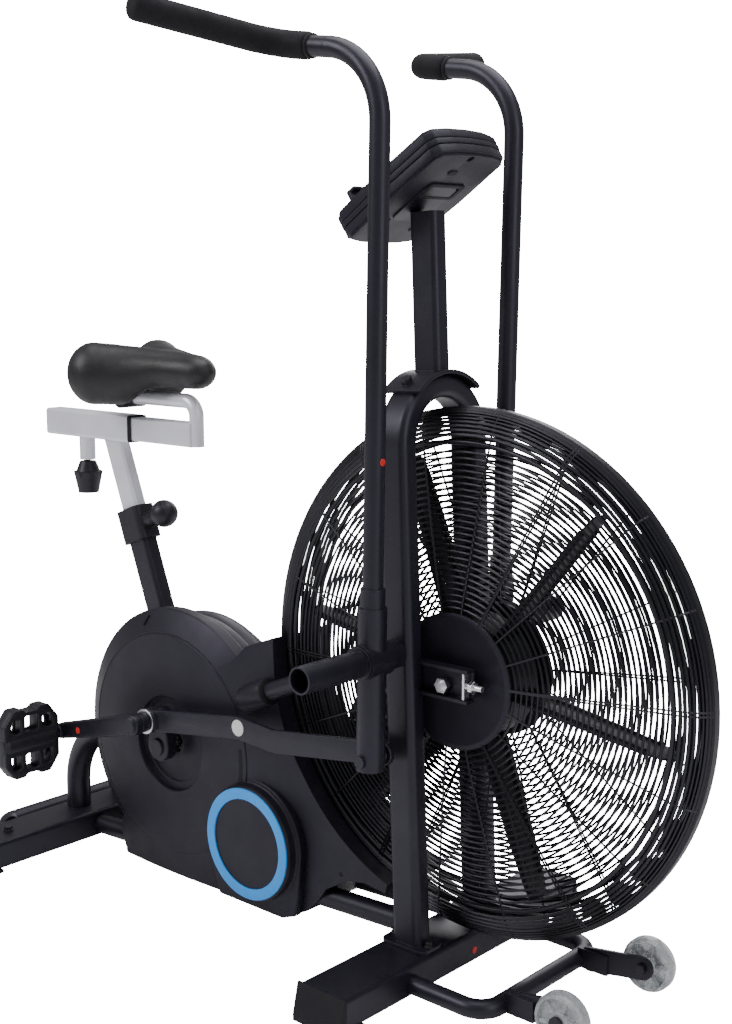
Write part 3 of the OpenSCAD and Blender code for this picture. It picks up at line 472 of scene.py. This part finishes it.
def spoke(side, angle, spread, wire):
    """One radial wire; a doubled spoke opens from the disc to the rim by spread."""
    path = []
    for j in range(9):
        r = DISC_R - 2 + (FACE_R - DISC_R + 2) * j / 8
        path.append((r, face_y(r) + 0.9, spread * (0.2 + 0.8 * j / 8)))
    for j in range(1, 7):
        r, y = shoulder(j * 0.155)
        path.append((r + 1.0, y + 0.4, spread))
    points = [
        (FAN[0] + r * math.cos(angle + d / r), side * y, FAN[1] + r * math.sin(angle + d / r)) for r, y, d in path
    ]
    return tube(points, wire, sides=6)


def cage_wires(side, turn):
    parts = []
    rings = 27
    for i in range(1, rings):
        r = DISC_R + (FACE_R - 5 - DISC_R) * i / rings
        parts.append(ring(*FAN, r, side * (face_y(r) - 1.6), 1.65, n=84))
    parts.append(ring(*FAN, FACE_R - 1, side * (FACE_Y - 1.5), 3.4, n=120, sides=10))
    for i in range(10):
        r, y = shoulder(0.13 + i * 0.092)
        parts.append(ring(*FAN, r, side * y, 2.45 if i not in (4, 5) else 1.7, n=120))
    for k in range(18):
        a = math.radians(turn + 20 * k)
        for d in (-2.4, 2.4) if k % 3 == 0 else (0,):
            parts.append(spoke(side, a, d, 1.3))
    return merge(*parts)


for side, piece_name, node_name, turn in (
    (-1, "cage_wires_right", "cage_right", 3), (1, "cage_wires_left", "cage_left", 8)
):
    place(add(piece_name, *cage_wires(side, turn)), "frame", "wire", replaces=(node_name,))

band = [ring(*FAN, CAGE_R - 2.3, y, 2.3, n=120) for y in (-4.4, 0, 4.4)]
for k in range(8):
    a = math.radians(22.5 + 45 * k)
    m = Matrix.Translation((FAN[0], 0, FAN[1])) @ Matrix.Rotation(-a, 4, "Y") @ Matrix.Translation((CAGE_R - 8.5, 0,
        0)) @ Matrix.Rotation(math.pi / 2, 4, "X")
    band.append(moved(plate([rounded(6, 16, 2)], 26, 1.2), m @ Matrix.Rotation(math.pi / 2, 4, "X")))
place(add("cage_rim", *merge(*band)), "frame", "wire", replaces=("cage_band",))

discs = []
for s in (-1, 1):
    y = s * DISC_Y
    discs.append(lathe([(14, y - s * 3), (DISC_R - 2, y - s * 3), (DISC_R + 1, y - s * 1), (DISC_R + 1, y + s * 1),
        (DISC_R - 2.5, y + s * 2.6),
                        (DISC_R - 7, y + s * 2.2), (DISC_R - 10, y + s * 1.0), (14, y + s * 1.0)], *FAN, n=96))
place(add("cage_discs", *merge(*discs), angle=50), "frame", "shell", replaces=("hub_discs",))


# ---------------------------------------------------------------- fan rotor
BLADES = 6
FIRST_BLADE = 51


def blade(angle):
    """A flat paddle with a stiffening rib, drawn along x and y and turned to its place."""
    outline = [
        (70, -28), (130, -28), (215, -25.5), (270, -20.5), (288, -16), (288, 16), (270, 20.5), (215, 25.5), (130, 28),
        (70, 28)
    ]
    holes = [circle(x, y, 1.3, 8) for x in range(120, 270, 30) for y in (-9, 9)]
    paddle = plate([fillet(outline, 7, 3)] + holes, 2.6, 0.5, 1)
    rib = plate([fillet([(74, -20), (262, -17.5), (262, -15), (74, -17)], 0.8, 2)], 9, 0.8, 1)
    m = Matrix.Translation((FAN[0], 0, FAN[1])) @ Matrix.Rotation(-math.radians(angle), 4, "Y")
    return moved(merge(paddle, rib, moved(rib, Matrix.Diagonal((1, -1, 1, 1)))), m)


root = lathe(
    fillet([(54.5, -30), (74, -30), (78, -26), (78, 26), (74, 30), (54.5, 30)], [0, 3, 3, 3, 3, 0], 3), *FAN, n=96
)
paddles = [blade(FIRST_BLADE + 360 / BLADES * k) for k in range(BLADES)]
place(add("rotor_blades", *merge(root, *paddles)), "fan", "blade", replaces=("fan_rotor",))
hub = [lathe(fillet([(6.2, -34), (46, -34), (54, -28), (54, 28), (46, 34), (6.2, 34)], [0, 5, 5, 5, 5, 0], 4), *FAN,
    n=96),
       lathe([(6.2, 34), (11, 34), (11, 46), (22, 47.2), (22, 52), (6.2, 52)], *FAN, n=48)]
place(add("rotor_hub", *merge(*hub)), "fan", "blade", replaces=("fan_hub",))


# ---------------------------------------------------------------- covers
CHEEK_R = CAGE_R - 32
SLOT_R = CAGE_R + 7
SLOT_Y = 31.0
BLOCK_Y = 56.0


def block_outline():
    """Side outline of the forward part of the cover, in x and z, anticlockwise; its front edge is round the fan."""
    fx, fz = FAN
    tail, head = (160, 92), (-42, 403)
    low = math.degrees(math.atan2(tail[1] + 14 - fz, tail[0] + 4 - fx)) % 360
    high = math.degrees(math.atan2(head[1] - fz, head[0] - fx)) % 360
    base = [(-371, 6.5), (-32, 6.5), (-8, 12), (16, 24), (36, 44), (53, 67), (92, 90), (124, 96), tail]
    front = arc(fx, fz, CHEEK_R, low, high, 24)
    top = [(-60, 398), (-97, 383), (-112, 366), (-128, 353), (-145, 346), (-172, 330)]
    rear = [(-262, 230), (-374, 60), (-377, 44)]
    return base + front + top + rear


def boolean(ob, other, how):
    mod = ob.modifiers.new("cut", "BOOLEAN")
    mod.operation = how
    mod.solver = "EXACT"
    mod.object = other
    bpy.context.view_layer.update()
    me = bpy.data.meshes.new_from_object(ob.evaluated_get(bpy.context.evaluated_depsgraph_get()))
    ob.modifiers.clear()
    old = ob.data
    ob.data = me
    bpy.data.meshes.remove(old)
    bpy.data.objects.remove(other)


def prism(outline, y0, y1):
    n = len(outline)
    v = [(x, y0, z) for x, z in outline] + [(x, y1, z) for x, z in outline]
    f = [tuple(range(n)), tuple(range(2 * n - 1, n - 1, -1))]
    f += [(i, i + n, (i + 1) % n + n, (i + 1) % n) for i in range(n)]
    return v, f


def soften(ob, width=2.5, segments=3, angle=32):
    mod = ob.modifiers.new("round", "BEVEL")
    mod.width = width * MM
    mod.segments = segments
    mod.limit_method = "ANGLE"
    mod.angle_limit = math.radians(angle)
    mod.harden_normals = False
    return ob


def block(side):
    """One half of the forward part: the outline cut from a shallow cone round the crank, with a slot for the cage."""
    face = 68.4 if side < 0 else 58
    crown = [
        (0.5, -20), (0.5, 50), (75, 50), (75.5, face), (168, face), (205, face - 4), (262, BLOCK_Y), (700, BLOCK_Y),
        (700, -20)
    ]
    cap = add("tmp_cap", *lathe([(r, side * y) for r, y in crown], *CRANK, n=128))
    slot = add(
        "tmp_slot",
        *lathe(
            [
                (200, -40 * side), (SLOT_R, -40 * side), (SLOT_R, side * (SLOT_Y - 8)), (SLOT_R - 8, side * SLOT_Y),
                (200, side * SLOT_Y)
            ],
            *FAN, n=128
        )
    )
    ob = add("block", *prism(block_outline(), 0.2 * side, side * 80))
    boolean(ob, cap, "INTERSECT")
    boolean(ob, slot, "DIFFERENCE")
    return ob


def drum_core(side):
    """Middle layer of the drum, open where the seat post slides down inside the seat tube."""
    lean = math.radians(SEAT_LEAN)
    up = Vector((-math.sin(lean), math.cos(lean)))
    across = Vector((up.y, -up.x)) * 29
    base = Vector(CRANK) + Vector((SEAT_FOOT, 0)) + up * 72
    edges = []
    for k in (1, -1):
        start = base + across * k
        t = 0
        while ((start + up * t) - Vector(CRANK)).length < 183.5:
            t += 0.5
        edges.append((start, start + up * t))
    angle = [math.degrees(math.atan2(e[1].y - CRANK[1], e[1].x - CRANK[0])) for e in edges]
    outline = [tuple(edges[0][0])] + arc(*CRANK, 184, angle[0], angle[1] - 360, 90) + [tuple(edges[1][0])]
    return upright_plate([outline, circle(*CRANK, 60, 48)], side * 0.3, side * 19, 0.2, 1)


# Rear drum of the right cover: low inner drum, raised rim that stops at the notch, and the crank recess
def right_drum():
    low = lathe(
        fillet([(60, -18.8), (184, -18.8), (184, -50), (164, -60), (60, -60)], [0, 0, 6, 6, 0], 5), *CRANK, n=128
    )
    rim = lathe(
        fillet([(150, -30), (196, -30), (200, -34), (200, -53), (168, -69.4), (150, -62)], [0, 3, 3, 3.5, 1.5, 0], 5),
        *CRANK, n=110, a0=47.0, a1=236.0
    )
    face = lathe(fillet([(69, -50), (72, -70), (165.5, -70), (165.5, -52)], [0, 2.5, 2, 0], 5), *CRANK, n=128)
    floor = lathe([(16, -52), (16, -57.5), (24, -59.5), (66, -58), (71, -56), (71, -50)], *CRANK, n=96)
    return merge(drum_core(-1), low, rim, face, floor)


def left_drum():
    low = lathe(
        fillet(
            [(60, 18.8), (184, 18.8), (184, 24), (172, 40), (142, 60), (72, 60), (70, 46), (60, 46)],
            [0, 0, 4, 12, 5, 2, 0, 0], 5
        ),
        *CRANK, n=128
    )
    floor = lathe([(16, 40), (16, 47.5), (66, 48), (71, 47), (71, 40)], *CRANK, n=96)
    return merge(drum_core(1), low, floor)


def boss(side):
    """Raised seat where the frame stay leaves the cover; its rubber ring is added after the covers."""
    a, b = Vector((-100, side * 66, 305.5)), Vector((-40, side * 70, 331.5))
    d = (b - a).normalized()
    pts = [a, a + d * 4, a + d * 14, b - d * 3, b]
    body = tube([tuple(p) for p in pts], 19, 32, radii=[9, 14.5, 19, 19, 17.5])
    return body


def cover(side, name, node_name, drum):
    b = block(side)
    me = b.data
    part = [tuple(c / MM for c in v.co) for v in me.vertices], [tuple(p.vertices) for p in me.polygons]
    bpy.data.objects.remove(b)
    rearcap = upright_plate(
        [fillet([(-372, 8), (-300, 8), (-300, 60), (-372, 44)], [3, 0, 0, 6])], side * 1, side * 56, 2
    )
    ob = add(name, *merge(part, rearcap, boss(side)), angle=30)
    soften(ob, 2.2, 3, 40)
    place(ob, "frame", "shell", replaces=(node_name,))
    d = add(name + "_drum", *drum(), angle=33)
    place(d, "frame", "shell")
    return ob


cover(-1, "right_shell", "right_cover", right_drum)
cover(1, "left_shell", "left_cover", left_drum)

rings = [
    tube(
        [(-43 + 2 * k, s * 70.5, 330.2 + 0.86 * k) for k in range(4)], 18.5, 32, radii=[16, 19, 19, 16]
    ) for s in (-1, 1)
]
place(add("stay_rings", *merge(*rings)), "frame", "rubber")

# Seam groove, screw slot and two screw heads on the right cover
trims = [lathe([(150.5, -70.25), (157.5, -70.25), (157.5, -68.5), (150.5, -68.5)], *CRANK, n=40, a0=-26, a1=9)]
slot_at = Matrix.Translation(
    (CRANK[0] + 186 * math.cos(math.radians(108)), -61.5, CRANK[1] + 186 * math.sin(math.radians(108)))
) @ Matrix.Rotation(math.radians(-25), 4, "X")
trims.append(moved(tube([(-1.5, 0, -8), (0.6, 0, 0), (3.5, 0, 8)], 1.6, 8), slot_at))
for x, z in ((-358, 15), (80, 96)):
    trims.append(disc_y(x, z, 3.6, -BLOCK_Y + 0.5, -BLOCK_Y - 0.5, 20, 0.4))
place(add("cover_marks", *merge(*trims)), "frame", "rubber", replaces=("cover_screws",))

# Badge: a puck with a plain inlaid ring
puck = lathe(
    fillet(
        [(0.01, -54), (88, -54), (89, -66), (84, -70), (83, -80), (81, -83.4), (0.01, -83.4)], [0, 0, 4, 2, 3, 2, 0],
        4
    ),
    *JACK, n=128
)
pad_outline = [(-150, 6), (-22, 6), (4, 16), (10, 44)] + arc(*JACK, 91, 0, 180, 24) + [(-166, 60)]
puck = merge(puck, upright_plate([fillet(pad_outline, 5, 3)], -54, -68.5, 2.5, 3))
place(add("badge_puck", *puck, ), "frame", "shell", replaces=("right_badge",))
inlay = lathe(fillet([(64.6, -82.9), (64.6, -85.4), (80.4, -85.4), (80.4, -82.9)], [0, 0.9, 0.9, 0], 3), *JACK, n=128)
place(add("badge_inlay", *inlay), "frame", "blue", replaces=("badge_ring",))


# ---------------------------------------------------------------- saddle
def ball(centre, radii):
    bm = bmesh.new()
    bmesh.ops.create_icosphere(bm, subdivisions=4, radius=1)
    out = [
        tuple(c + v * r for c, v, r in zip(centre, p.co, radii)) for p in bm.verts
    ], [tuple(v.index for v in f.verts) for f in bm.faces]
    bm.free()
    return out


def saddle_pad():
    """Padded lobes run together by a voxel remesh, smoothed, then eased clear of the clamp underneath."""
    lobes = []
    for k in range(13):
        t = k / 12
        lift = min(1.0, max(0.0, (t - 0.2) / 0.45))
        top, bottom = 798 - 16 * t, 703 + 27 * lift * lift * (3 - 2 * lift)
        for s in (-1, 1):
            lobes.append(
                ball(
                    (-415 + 158 * t, s * 62 * (1 - t) ** 1.7, (top + bottom) / 2),
                    (42 - 9 * t, 41 - 13 * t, (top - bottom) / 2)
                )
            )
    lobes += [ball((-398, 0, 760), (44, 50, 27)), ball((-350, 0, 758), (56, 46, 26))]
    ob = add("saddle_pad", *merge(*lobes), angle=180)
    join = ob.modifiers.new("join", "REMESH")
    join.mode = "VOXEL"
    join.voxel_size = 5.0 * MM
    ease = ob.modifiers.new("ease", "SMOOTH")
    ease.factor, ease.iterations = 0.5, 5
    fine = ob.modifiers.new("fine", "SUBSURF")
    fine.levels = fine.render_levels = 1
    bpy.context.view_layer.update()
    me = bpy.data.meshes.new_from_object(ob.evaluated_get(bpy.context.evaluated_depsgraph_get()))
    ob.modifiers.clear()
    ob.data = me
    under = 731.5 * MM
    for v in me.vertices:
        near = min(1.0, max(0.0, (42 * MM - abs(v.co.y)) / (13 * MM)))
        if v.co.z < under:
            v.co.z += (under - v.co.z) * near
    me.shade_smooth()
    return ob


pad = saddle_pad()
place(pad, "seat_body", "saddle", replaces=("saddle",))

# Plastic sleeve on the bar that carries the seat post
sleeve = [rounded(33.5, 41.5, 5), rounded(28.6, 36.6, 3.2)]
v, f = plate(sleeve, 13, 1.2, 2)
place(
    add(
        "bar_sleeve",
        *moved((v, f), Matrix(((0, 0, 1, BAR_SLEEVE[0]), (1, 0, 0, 0), (0, 1, 0, BAR_SLEEVE[1]), (0, 0, 0, 1))))
    ),
    "seat_post_body", "rubber"
)


# ---------------------------------------------------------------- console
CON_AT = Matrix.Translation(CONSOLE_AT) @ Matrix.Rotation(-math.radians(CONSOLE_TILT), 4, "Y")


def console_outline(grow=0.0):
    g = grow
    return list(reversed([(-97 - g, 0), (-95.5 - g, 34), (-91 - g, 60 + g), (-80, 66 + g), (0, 70.5 + g), (80,
        68 + g), (91 + g, 60 + g), (95.5 + g, 34),
                          (97 + g, 0), (95.5 + g, -34), (91 + g, -60 - g), (80, -68 - g), (0, -70.5 - g), (-80,
                          -66 - g), (-91 - g, -60 - g), (-95.5 - g, -34)]))


def console_part(outlines, z0, z1, bevel=2.0, steps=3):
    v, f = plate(outlines, z1 - z0, bevel, steps)
    return moved(([(x, y, z + (z0 + z1) / 2) for x, y, z in v], f), CON_AT)


def shifted(outline, x, y=0):
    return [(a + x, b + y) for a, b in outline]


BUTTON_HOLES = [shifted(circle(0, 0, 9.8, 28), -52, y) for y in (24, -24)]
back = merge(
    console_part([fillet(console_outline(-3.5), 5, 2), shifted(rounded(9, 9, 3), 86, -4)], -20, -15, 1.0),
    console_part([fillet(console_outline(-0.6), 5, 2)], -16.4, -5.2, 1.0),
    console_part([fillet(console_outline(0), 5, 2)], -4.4, 3.2, 0.8),
)
place(add("console_rear_shell", *back), "frame", "shell", replaces=("console_back",))
front = merge(
    console_part([fillet(console_outline(0), 5, 2), *BUTTON_HOLES], 4.0, 13.5, 1.0),
    console_part([fillet(console_outline(-2), 5, 2), shifted(rounded(94, 102, 7), 18), *BUTTON_HOLES], 10, 18, 1.4),
    console_part([shifted(rounded(9, 96, 3.5), -67)], 13, 40, 2.0),
    console_part([shifted(rounded(15, 96, 4), -63)], 35, 40, 2.0),
)
place(add("console_face_shell", *front), "frame", "shell", replaces=("console_front",))
detail = merge(
    # bracket frame, plain oval and lip on the back
    console_part([shifted(rounded(30, 68, 7), 22, 6), shifted(rounded(18, 52, 5), 22, 6)], -22.5, -19.6, 1.0),
    console_part([shifted(rounded(9, 15, 4.4), 58, -9.5)], -21.2, -19.6, 0.6),
    console_part([shifted(rounded(24, 5, 2.2), -52, 30)], -21, -19.6, 0.5),
    console_part([shifted(rounded(24, 5, 2.2), -52, -30)], -21, -19.6, 0.5),
)
place(add("console_back_details", *detail), "frame", "rubber")


# ---------------------------------------------------------------- grips
LEAN = math.radians(1.06)
GRIP_AT = (Matrix.Translation(LEVER_PIVOT) @ Matrix.Rotation(LEAN, 4, "Y") @ Matrix.Translation((-90, 0, 639.11))
    @ Matrix.Rotation(-math.radians(83.36), 4, "Y")
           @ Matrix.Translation((90, 0, 0)) @ Matrix.Rotation(math.radians(6), 4, "Z"))


def grip(side):
    """Foam sleeve along the last bend of the handle, rounded at both ends, with a moulded collar at its start."""
    turn, r, lead = math.radians(77), 50, 52
    path = [(0, 0, 32.5), (0, 0, 34), (0, 0, 37), (0, 0, 44)]
    path += [(0, -r * (1 - math.cos(turn * k / 10)), lead + r * math.sin(turn * k / 10)) for k in range(11)]
    end = Vector(path[-1])
    run = Vector((0, -math.sin(turn), math.cos(turn)))
    path += [tuple(end + run * d) for d in (30, 70, 110, 148, 153, 156, 157.2)]
    radii = [13.6, 15.4, 16.5, 16.5] + [16.5] * 11 + [16.5] * 4 + [15.6, 12.6, 4]
    body = moved(tube(path, 16.5, 32, radii=radii), GRIP_AT)
    collar = moved(
        tube([(0, 0, 27), (0, 0, 28.4), (0, 0, 31.4), (0, 0, 32.6)], 15, 32, radii=[13.2, 15, 15, 13.6]), GRIP_AT
    )
    if side > 0:
        flip = Matrix.Diagonal((1, -1, 1, 1))
        body, collar = moved(body, flip), moved(collar, flip)
    return body, collar


for side, word in ((-1, "right"), (1, "left")):
    body, collar = grip(side)
    place(add(word + "_foam_grip", *body, angle=60), word + "_lever_body", "foam", replaces=(word + "_grip",))
    place(add(word + "_grip_collar", *collar), word + "_lever_body", "rubber")


# ---------------------------------------------------------------- cranks, links and pedals
def crank_parts(side):
    s = side
    axle = CRANK
    pin = (CRANK[0], CRANK[1] - s * LINK_THROW)
    pedal = (CRANK[0] + s * CRANK_ARM, CRANK[1])
    inner = upright_plate([taper(axle, 22, pin, 15)], s * 72.5, s * 92, 2.5, 3)
    outer = upright_plate([taper(pin, 15.5, pedal, 12)], s * 128, s * 143, 3.2, 4)
    rest = merge(
        disc_y(*axle, 13, s * 90, s * 96, 32),
        disc_y(*pin, 10, s * 90, s * 129),
        disc_y(*pin, 14.5, s * 117, s * 129),
        disc_y(*pin, 13, s * 142, s * 146.5, 32, 2.0),
        disc_y(*pedal, 7, s * 142, s * 240, 24),
        disc_y(*pedal, 10.5, s * 143, s * 148, 24, 1.2),
    )
    return inner, outer, rest, pin, pedal


for side, word in ((-1, "right"), (1, "left")):
    inner, outer, rest, pin, pedal = crank_parts(side)
    place(add(word + "_crank_arms", *merge(inner, outer, rest)), "crank", "frame_paint", replaces=(word + "_crank",))
    place(
        add(
            word + "_pin_washer",
            *merge(
                lathe(
                    fillet(
                        [(10.5, side * 113.4), (18.5, side * 113.4), (18.5, side * 116), (10.5, side * 116)], 0.5, 2
                    ),
                    *pin, n=48
                )
            )
        ),
        "crank", "zinc"
    )
    # link bar with its jog
    d = Vector(LINK_BOLT) - Vector(pin)
    u = d.normalized()
    w = Vector((-u.y, u.x))
    half, tip = 16, Vector(pin) + d
    a, b = Vector(pin) + d * 0.42 + w * 7, Vector(pin) + d * 0.57 - w * 5

    def round_end(at, back):
        return [
            at + (u * math.cos(t) * back + w * math.sin(t)) * (half if back < 0 else 15) for t in (
                math.pi / 2 - math.pi * k / 12 for k in range(13)
            )
        ]

    outline = [a + w * half, b + w * half] + round_end(tip, 1) + [b - w * half, a - w * half] + list(
        reversed(round_end(Vector(pin), -1))
    )
    outline = [tuple(p) for p in reversed(outline)]
    bar = upright_plate([outline, circle(*pin, 11.2, 28)], side * 101, side * 109, 2.0, 3)
    hub_part = lathe(
        fillet([(10.3, side * 96), (19, side * 96), (19, side * 113), (10.3, side * 113)], [0, 1.5, 1.5, 0], 3), *pin,
        n=48
    )
    stud = disc_y(*LINK_BOLT, 9, side * 97.5, side * 110.5, 28, 1.5)
    place(
        add(word + "_link_bar", *merge(bar, hub_part, stud)), word + "_link_body", "frame_paint",
        replaces=(word + "_link",)
    )

    # pedal cage, standing on edge
    px, pz = pedal
    pw, pl = 48, 52

    def frame_outline(k):
        raw = [(-pw, -30), (-pw + 17, -pl), (-14, -pl), (-9, -pl + 5), (9, -pl + 5), (14, -pl), (pw - 17, -pl), (pw,
            -30),
               (pw, 30), (pw - 17, pl), (14, pl), (9, pl - 5), (-9, pl - 5), (-14, pl), (-pw + 17, pl), (-pw, 30)]
        return fillet(raw, 6, 3)

    holes = []
    for sy in (-1, 1):
        for hx, hw in ((-29, 19), (0, 23), (29, 19)):
            far = 41 if hx == 0 else 38
            pts = [
                (hx - hw / 2, 17), (hx + hw / 2, 17), (hx + hw / 2 - (5 if hx > 0 else 0), far),
                (hx - hw / 2 + (5 if hx < 0 else 0), far)
            ]
            holes.append(fillet([(x, sy * y) for x, y in pts], 4, 3))
    plates = []
    m = Matrix(((0, 0, 1, px), (1, 0, 0, side * PEDAL_Y), (0, 1, 0, pz), (0, 0, 0, 1)))
    for z in (-9.5, 9.5):
        v, f = plate([frame_outline(0)] + holes, 5.5, 1.3, 2)
        plates.append(moved(([(x, y, zz + z) for x, y, zz in v], f), m))
    v, f = plate([frame_outline(0), [(x * 0.86, y * 0.88) for x, y in frame_outline(0)]], 16, 0.8, 1)
    plates.append(moved((v, f), m))
    for hx in (-14.5, 14.5):
        for sy in (-1, 1):
            v, f = plate(
                [fillet([(hx - 3.2, sy * 14), (hx + 3.2, sy * 14), (hx + 3.2, sy * 44), (hx - 3.2, sy * 44)], 1, 2)],
                20, 0.8, 1
            )
            plates.append(moved((v, f), m))
    plates.append(lathe(fillet([(7.2, side * 155), (14.5, side * 155), (15.5, side * 160), (15.5, side * 240), (13,
        side * 250), (0.01, side * 250), (0.01, side * 242), (7.2, side * 242)],
                               [0, 2, 2, 4, 3, 0, 0, 0], 3), px, pz, n=40))
    place(add(word + "_pedal_cage", *merge(*plates)), word + "_pedal_body", "pedal", replaces=(word + "_pedal",))


# ---------------------------------------------------------------- wheels
for side, word in ((-1, "right"), (1, "left")):
    y = side * WHEEL_Y
    tread = fillet([(6, y - 10), (9, y - 11), (13, y - 11), (15, y - 6), (27, y - 6), (29, y - 11), (33, y - 10),
        (35, y - 5),
                    (35, y + 5), (33, y + 10), (29, y + 11), (27, y + 6), (15, y + 6), (13, y + 11), (9, y + 11), (6,
                    y + 10)], 1.6, 3)
    spokes = []
    for k in range(6):
        a = math.radians(60 * k + 12)
        m = Matrix.Translation((WHEEL[0], y, WHEEL[2])) @ Matrix.Rotation(-a, 4, "Y")
        v, f = plate([fillet([(12, -3), (30, -3), (30, 3), (12, 3)], 1, 2)], 18, 1.0, 1)
        spokes.append(moved(([(p[0], p[2], p[1]) for p in v], [tuple(reversed(q)) for q in f]), m))
    place(
        add(word + "_roller", *merge(lathe(tread, WHEEL[0], WHEEL[2], n=64), *spokes)), word + "_wheel_body", "wheel",
        replaces=(word + "_wheel",)
    )


# ---------------------------------------------------------------- small plain marks
place(
    add("right_link_dot", *disc_y(-62, 284, 11.5, -108.8, -109.9, 36, 0.3)), "right_link_body", "frame_paint",
    mat="white"
)
place(
    add("right_crank_dot", *disc_y(CRANK[0] - 123, CRANK[1] + 11, 5, -142.8, -143.6, 24, 0.3)), "crank",
    "frame_paint", mat="red"
)
facing = Matrix.Rotation(-math.pi / 2, 4, "Z")
place(
    add(
        "right_lever_dot",
        *moved(disc_y(0, 0, 4.6, -0.5, 0.5, 24, 0.3), Matrix.Translation((219.0, -130, 676)) @ facing)
    ),
    "right_lever_body", "frame_paint", mat="red"
)
place(
    add(
        "foot_dot",
        *moved(
            disc_y(0, 0, 5, -0.5, 0.5, 24, 0.3),
            Matrix.Translation((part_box("front_stabilizer")[1][0] * 1000 + 0.1, 9, 22)) @ facing
        )
    ),
    "frame", "frame_paint", mat="red"
)


# ---------------------------------------------------------------- floor, light and camera
def white_floor():
    me = bpy.data.meshes.new("floor")
    me.from_pydata([(-40, -40, 0), (40, -40, 0), (40, 40, 0), (-40, 40, 0)], [], [(0, 1, 2, 3)])
    ob = bpy.data.objects.new("floor", me)
    bpy.context.scene.collection.objects.link(ob)
    mat, nodes, links, bsdf = new_material("floor_white")
    bsdf.inputs["Base Color"].default_value = (0.93, 0.93, 0.94, 1)
    bsdf.inputs["Roughness"].default_value = 0.85
    path = nodes.new("ShaderNodeLightPath")
    glow = nodes.new("ShaderNodeEmission")
    glow.inputs["Strength"].default_value = FLOOR_GLOW
    mix = nodes.new("ShaderNodeMixShader")
    scale = nodes.new("ShaderNodeMath")
    scale.operation = "MULTIPLY"
    scale.inputs[1].default_value = 0.86
    links.new(path.outputs["Is Camera Ray"], scale.inputs[0])
    links.new(scale.outputs[0], mix.inputs["Fac"])
    links.new(bsdf.outputs[0], mix.inputs[1])
    links.new(glow.outputs[0], mix.inputs[2])
    links.new(mix.outputs[0], nodes["Material Output"].inputs["Surface"])
    me.materials.append(mat)
    return ob


FLOOR_GLOW = 24.0
white_floor()

world = bpy.data.worlds.new("studio")
bpy.context.scene.world = world
world.use_nodes = True
wn, wl = world.node_tree.nodes, world.node_tree.links
backdrop = wn["Background"]
backdrop.inputs["Color"].default_value = (1, 1, 1, 1)
backdrop.inputs["Strength"].default_value = 0.30
seen = wn.new("ShaderNodeBackground")
seen.inputs["Color"].default_value = (1, 1, 1, 1)
seen.inputs["Strength"].default_value = FLOOR_GLOW
wmix = wn.new("ShaderNodeMixShader")
wpath = wn.new("ShaderNodeLightPath")
wl.new(wpath.outputs["Is Camera Ray"], wmix.inputs["Fac"])
wl.new(backdrop.outputs[0], wmix.inputs[1])
wl.new(seen.outputs[0], wmix.inputs[2])
wl.new(wmix.outputs[0], wn["World Output"].inputs["Surface"])


def area(name, at, to, size, power, color=(1, 1, 1)):
    light = bpy.data.lights.new(name, "AREA")
    light.shape = "RECTANGLE"
    light.size, light.size_y = size
    light.energy = power
    light.color = color
    ob = bpy.data.objects.new(name, light)
    ob.location = at
    ob.rotation_euler = (Vector(to) - Vector(at)).to_track_quat("-Z", "Y").to_euler()
    bpy.context.scene.collection.objects.link(ob)


area("key", (-1.6, -2.6, 2.6), (0, 0, 0.5), (1.6, 1.6), 62, (1.0, 0.99, 1.0))
area("side", (3.0, -0.4, 1.7), (0.1, 0, 0.6), (1.2, 2.4), 27, (0.97, 0.98, 1.0))
area("top", (0.2, 0.3, 3.2), (0, 0, 0.5), (2.6, 2.6), 78)
area("back", (-1.4, 2.8, 1.8), (0, 0, 0.6), (2.0, 1.6), 34)

cam_data = bpy.data.cameras.new("camera")
cam_data.lens = 51.624
cam_data.sensor_width = 36
cam = bpy.data.objects.new("camera", cam_data)
cam.location = (1.36124, -1.43446, 0.89605)
cam.rotation_euler = (math.radians(80.8345), 0, math.radians(41.8618))
bpy.context.scene.collection.objects.link(cam)
bpy.context.scene.camera = cam
